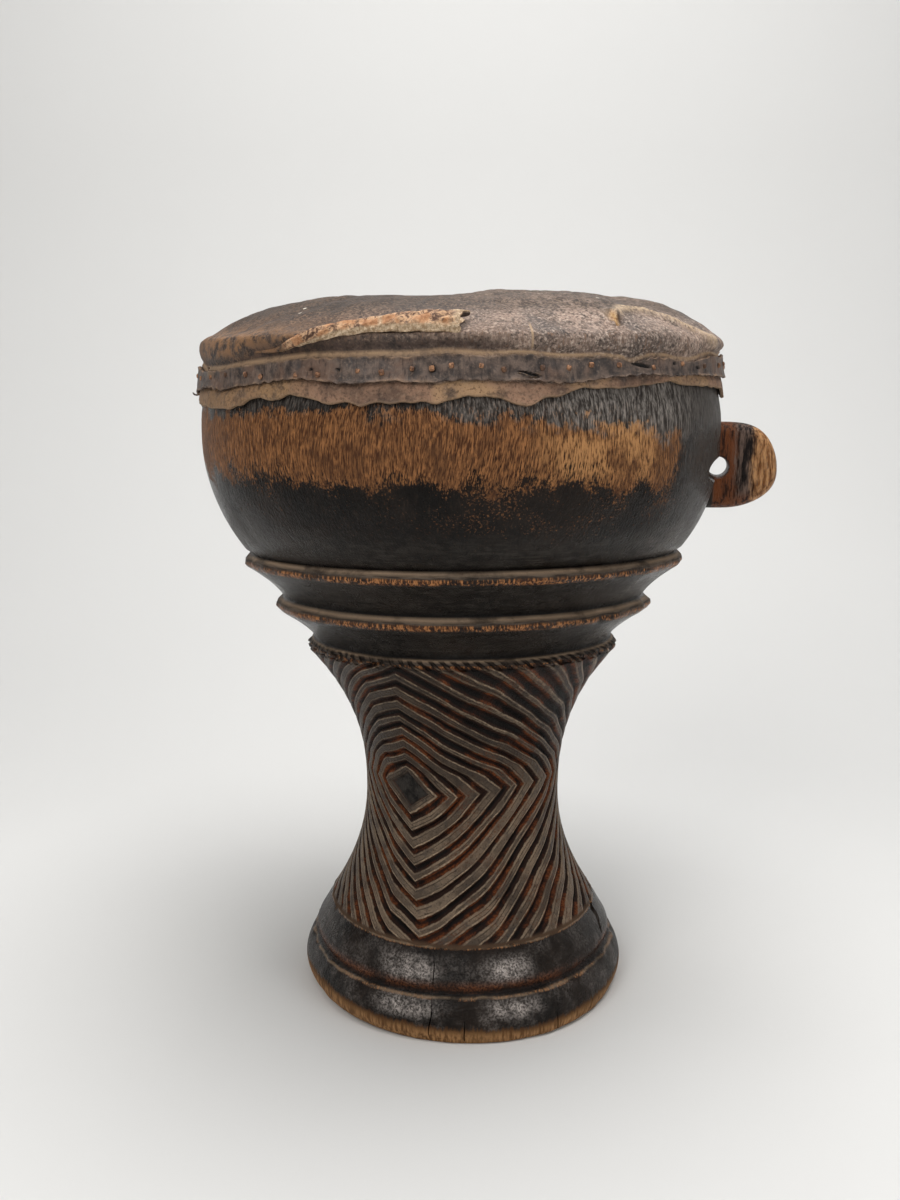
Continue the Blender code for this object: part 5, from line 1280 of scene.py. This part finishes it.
def fibre(loose, count=22, sides=8):
    # thin tube along a smooth line through its steps, thinning to its end
    degrees, rootHeight = loose["root"]
    turnAt = math.radians(degrees)
    out = np.array([math.sin(turnAt), -math.cos(turnAt), 0.0])
    sideway = np.array([math.cos(turnAt), math.sin(turnAt), 0.0])
    start = aboutAxis(turnAt, hideRadius(rootHeight) + 0.0008, rootHeight)
    steps = np.array(loose["steps"])
    moves = np.concatenate([[np.zeros(3)], np.cumsum(steps[:, :1] * out + steps[:, 1:2] * sideway + steps[:, 2:]
                * np.array([0.0, 0.0, 1.0]), axis=0)])
    knots = np.linspace(0.0, 1.0, len(moves))
    t = np.linspace(0.0, 1.0, count)
    path = np.stack([np.interp(t, knots, moves[:, axis]) for axis in range(3)], -1)
    blur = np.exp(-((t[:, None] - t[None, :]) / (0.42 / len(steps))) ** 2)
    path = start + (blur / blur.sum(1, keepdims=True)) @ path
    direction = np.gradient(path, axis=0)
    direction /= np.linalg.norm(direction, axis=1)[:, None]
    first = np.cross(direction, [0.0, 0.0, 1.0])
    first /= np.linalg.norm(first, axis=1)[:, None] + 1e-9
    second = np.cross(direction, first)
    radii = 0.5 * loose["thick"] * (1.0 - 0.45 * t**2) * (1.0 + 0.12 * np.sin(19.0 * t))
    return tubeBetween(path, radii, (first, second), sides)


bandPoints, bandFaces = joined([(bandGrid.reshape(-1, 3), sheetOfFaces(bandRows, strap["columns"], closeRows=True))]
    + [fibre(loose) for loose in looseEnds])
bandRest = len(bandPoints) - bandGrid.size // 3


def bandValues(values, rest):
    return np.concatenate([np.broadcast_to(values, bandHeight.shape).ravel(), np.full(bandRest, rest)])


def makeStrap():
    # smoke-dark strap hide with upright wrinkles, painted greasy highlights in light strokes, brown worn edges and
    # slots painted black as shade
    material, tree, where = newMaterial("strapHide")
    lowMask, highMask, slotShadeMask, knotMask, fibreMask = (painted(tree, n)
        for n in ("edgeLow", "edgeHigh", "cutIn", "knot", "fibre"))
    blotch = clouds(tree, where, 40.0, 4.0, 0.6)
    patch = clouds(tree, where, 150.0, 4.0, 0.65)
    fine = clouds(tree, where, 700.0, 4.0, 0.65)
    hair = clouds(tree, moved(tree, where, size=(1.0, 1.0, 0.22)), 620.0, 3.0, 0.6)
    colour = mixed(tree, fade(tree, patch, 0.36, 0.66), (0.036, 0.027, 0.024), (0.15, 0.106, 0.084))
    colour = mixed(tree, fade(tree, blotch, 0.48, 0.62, 0.0, 0.75), colour, (0.15, 0.086, 0.058))
    # painted highlights: light upright hair strokes and light specks
    colour = mixed(tree, fade(tree, hair, 0.56, 0.72, 0.0, 0.4), colour, (0.23, 0.165, 0.125))
    colour = mixed(tree, fade(tree, fine, 0.54, 0.68, 0.0, 0.45), colour, (0.24, 0.17, 0.125))
    colour = mixed(tree, fade(tree, hair, 0.45, 0.32, 0.0, 0.6), colour, (0.016, 0.011, 0.01))
    edgeColour = mixed(tree, fade(tree, patch, 0.4, 0.6), (0.11, 0.07, 0.047), (0.36, 0.23, 0.14))
    colour = mixed(tree, maths(tree, "MULTIPLY", lowMask, fade(tree, blotch, 0.36, 0.58, 0.05, 0.6)), colour,
        edgeColour)
    colour = mixed(tree, maths(tree, "MULTIPLY", highMask, fade(tree, blotch, 0.4, 0.56, 0.2, 0.85)), colour,
        edgeColour)
    colour = mixed(tree, maths(tree, "MULTIPLY", knotMask, fade(tree, patch, 0.42, 0.56)), colour,
        (0.2, 0.135, 0.085))
    colour = mixed(tree, fibreMask, colour, mixed(tree, fade(tree, fine, 0.4, 0.62), (0.05, 0.034, 0.027),
            (0.15, 0.098, 0.062)))
    # painted shade: the slots near-black
    colour = mixed(tree, slotShadeMask, colour, (0.004, 0.003, 0.003))
    roughness = fade(tree, patch, 0.32, 0.68, 0.42, 0.66)
    relief = maths(tree, "MULTIPLY_ADD", hair, 0.8, maths(tree, "MULTIPLY", fine, 0.4))
    relief = maths(tree, "MULTIPLY_ADD", patch, 0.9, relief)
    finishMaterial(tree, colour, roughness, relief, 0.00045, 0.35)
    return material


band = makePiece("rimStrapHide", bandPoints, bandFaces, makeStrap(), ("rim_strap",), 50)
paint(
    band.data,
    edgeLow=bandValues(hill(0.0, 0.17, across) * (through > 0.2), 0.0),
    edgeHigh=bandValues(hill(1.0, 0.1, across) * (through > 0.2), 0.0),
    cutIn=bandValues(np.clip(cutIn * 1.4, 0.0, 1.0) * outerSide, 0.0), knot=bandValues(knot * outerSide, 0.0),
    fibre=bandValues(0.0, 1.0),
)
print("rim strap", len(bandFaces), "triangles")

# the pegs: whittled square pins with rounded corners and worn, domed ends
peg = {"side": 0.0024, "depth": 0.0065, "proud": 0.0011, "tipShare": 0.8, "corner": 3.4, "sides": 20,
       # pins left long on the far left: (degrees, how far they stand out, drop of the outer end)
       "long": [(-93.4, 0.0046, 0.003), (-101.8, 0.004, -0.0008)]}


def makePegWood():
    # split hardwood, orange-brown and rubbed on its end, dark where it goes into the strap
    material, tree, where = newMaterial("pegWood")
    proud = painted(tree, "proud")
    shade = painted(tree, "shade")
    patch = clouds(tree, where, 480.0, 3.0, 0.6)
    fine = clouds(tree, where, 1500.0, 4.0, 0.65)
    end = mixed(tree, fade(tree, patch, 0.36, 0.62), (0.125, 0.05, 0.021), (0.4, 0.2, 0.1))
    end = mixed(tree, fade(tree, shade, 0.55, 1.0, 0.0, 0.85), end, (0.05, 0.024, 0.014))
    end = mixed(tree, fade(tree, fine, 0.54, 0.72, 0.0, 0.5), end, (0.03, 0.015, 0.01))
    colour = mixed(tree, fade(tree, proud, 0.45, 0.95), (0.028, 0.016, 0.011), end)
    relief = maths(tree, "MULTIPLY_ADD", fine, 0.6, patch)
    finishMaterial(tree, colour, fade(tree, patch, 0.3, 0.7, 0.5, 0.7), relief, 0.00035, 0.45)
    return material


pegWood = makePegWood()
pegNames = sorted(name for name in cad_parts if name.startswith("peg_"))
pegSwing = np.linspace(0.0, 2.0 * math.pi, peg["sides"], endpoint=False)
# rounded square: both coordinates raised to a power below one
pegAcross = np.sign(np.cos(pegSwing)) * np.abs(np.cos(pegSwing)) ** (2.0 / peg["corner"])
pegUp = np.sign(np.sin(pegSwing)) * np.abs(np.sin(pegSwing)) ** (2.0 / peg["corner"])
pegDice = np.random.default_rng(17)
for name in pegNames:
    low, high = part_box(name)
    middle = 0.5 * (np.array(low) + np.array(high))
    angleAt = math.atan2(middle[0] - axisX, axisY - middle[1])
    outerAt = hideRadius(middle[2]) + drum["gap"] + strap["thickness"]
    innerAt = outerAt - 2 * drum["gap"] - drum["hideThickness"] - strap["thickness"] - peg["depth"]
    proud, drop, knob = peg["proud"] + pegDice.uniform(-0.0003, 0.0005), 0.0, 0.0
    for degrees, stands, falls in peg["long"]:
        if abs((math.degrees(angleAt) - degrees + 180.0) % 360.0 - 180.0) < 3.0:
            proud, drop, knob = stands, falls, 0.25
    endAt = outerAt + proud
    # distance out and size, from the sunk tip to the domed end
    out = np.concatenate([[innerAt], np.linspace(innerAt + 0.0004, outerAt - 0.0003, 4),
            outerAt + (proud - 0.0009) * np.linspace(0.0, 1.0, 4), endAt - np.array([0.0006, 0.00035, 0.00015, 0.0])])
    size = np.concatenate([[0.6 * peg["tipShare"]], np.linspace(peg["tipShare"], 0.97, 4), np.full(4, 1.0),
            [0.97, 0.86, 0.66, 0.36]])
    size = size * (1.0 + knob * np.exp(-((out - endAt + 0.001) / 0.0009) ** 2) - 0.5 * knob
        * np.exp(-((out - outerAt - 0.4 * proud) / 0.0012) ** 2))
    narrow, tall = pegDice.uniform(0.82, 1.0), pegDice.uniform(0.92, 1.08)
    twist = pegDice.uniform(-0.4, 0.4)
    a = 0.5 * peg["side"] * size[:, None] * (narrow * pegAcross * math.cos(twist) - tall * pegUp
        * math.sin(twist))[None, :]
    b = 0.5 * peg["side"] * size[:, None] * (narrow * pegAcross * math.sin(twist) + tall * pegUp
        * math.cos(twist))[None, :]
    dent = 0.00012 * np.sin(3 * pegSwing + pegDice.uniform(0, 6))[None, :] * (out > outerAt - 0.0002)[:, None]
    o = out[:, None] + dent - 0.00025 * (a / 0.0012) * pegDice.uniform(-1, 1) * (out > endAt - 0.0009)[:, None]
    fall = drop * ramp(outerAt, endAt, out)[:, None] * (out > outerAt)[:, None]
    outWay, sideWay = np.array([math.sin(angleAt), -math.cos(angleAt), 0.0]), np.array([math.cos(angleAt),
            math.sin(angleAt), 0.0])
    rings = np.array([axisX, axisY, middle[2]]) + o[..., None] * outWay + a[..., None] * sideWay + (b - fall)[...,
        None] * np.array([0.0, 0.0, 1.0])
    rows = len(out)
    tips = np.stack([rings[0].mean(0), rings[-1].mean(0) + 0.00006 * outWay])
    faces = np.concatenate([
        sheetOfFaces(rows, peg["sides"]),
        fanOfFaces(np.arange(peg["sides"]), rows * peg["sides"], outward=False),
        fanOfFaces(np.arange(peg["sides"]) + (rows - 1) * peg["sides"], rows * peg["sides"] + 1),
    ])
    pin = makePiece(name.replace("peg_", "rimPeg."), np.concatenate([rings.reshape(-1, 3), tips]), faces, pegWood,
        (name,), 55)
    depthShare = np.concatenate([np.repeat(np.clip((out - outerAt + 0.0006) / 0.0014, 0.0, 1.0), peg["sides"]),
            [0.0, 1.0]])
    paint(pin.data, proud=depthShare, shade=np.full(len(depthShare), pegDice.uniform(0.0, 1.0)))
print("pegs", len(pegNames))

# pale floor that curves up well behind the drum
stage = {"front": -1.6, "bend": 0.25, "bendRadius": 0.6, "top": 2.6, "halfWidth": 2.4, "tone": (0.74, 0.735, 0.72)}
bow = np.linspace(0.0, 0.5 * math.pi, 24)
stageLine = np.concatenate([
    [(stage["front"], 0.0), (-0.6, 0.0), (0.0, 0.0)],
    np.stack([stage["bend"] + stage["bendRadius"] * np.sin(bow), stage["bendRadius"] * (1.0 - np.cos(bow))], -1),
    [(stage["bend"] + stage["bendRadius"], stage["top"])],
])
stageX = np.linspace(stage["halfWidth"], -stage["halfWidth"], 9)
stagePoints = np.stack([np.broadcast_to(stageX[None, :], (len(stageLine), 9)),
        np.broadcast_to(stageLine[:, :1], (len(stageLine), 9)),
        np.broadcast_to(stageLine[:, 1:], (len(stageLine), 9))], -1)
backdrop = makePiece("paleFloor", stagePoints, sheetOfFaces(len(stageLine), 9, closeColumns=False)[:, ::-1])
stageMaterial, stageTree, stageWhere = newMaterial("palePaint")
stageColour = mixed(stageTree, clouds(stageTree, stageWhere, 3.0, 2.0), tuple(0.97 * c for c in stage["tone"]),
    stage["tone"])
finishMaterial(stageTree, stageColour, 0.8, clouds(stageTree, stageWhere, 300.0, 2.0), 0.00004, 0.3)
backdrop.data.materials.append(stageMaterial)

# soft studio light: a large panel in front and above on the left, a weaker one on the right, one overhead
lights = {
    "key": {"place": (-0.7, -1.05, 1.2), "size": 0.8, "watts": 9.0, "colour": (1.0, 0.985, 0.96)},
    "fill": {"place": (1.0, -0.95, 0.8), "size": 0.7, "watts": 4.0, "colour": (1.0, 0.99, 0.97)},
    "overhead": {"place": (0.1, -0.05, 1.35), "size": 0.8, "watts": 14.0, "colour": (1.0, 1.0, 1.0)},
}
for name, light in lights.items():
    lamp = bpy.data.lights.new(name, "AREA")
    lamp.shape, lamp.size, lamp.energy, lamp.color = "SQUARE", light["size"], light["watts"], light["colour"]
    holder = bpy.data.objects.new(name, lamp)
    holder.location = (axisX + light["place"][0], axisY + light["place"][1], light["place"][2])
    aim = np.array([axisX, axisY, 0.2]) - np.array(holder.location)
    holder.rotation_euler = (math.acos(-aim[2] / np.linalg.norm(aim)), 0.0,
        math.atan2(aim[1], aim[0]) - 0.5 * math.pi)
    bpy.context.scene.collection.objects.link(holder)
world = bpy.data.worlds.new("studio")
world.use_nodes = True
world.node_tree.nodes["Background"].inputs[0].default_value = (0.97, 0.98, 1.0, 1.0)
world.node_tree.nodes["Background"].inputs[1].default_value = 0.22
bpy.context.scene.world = world
print("stage and lights set")
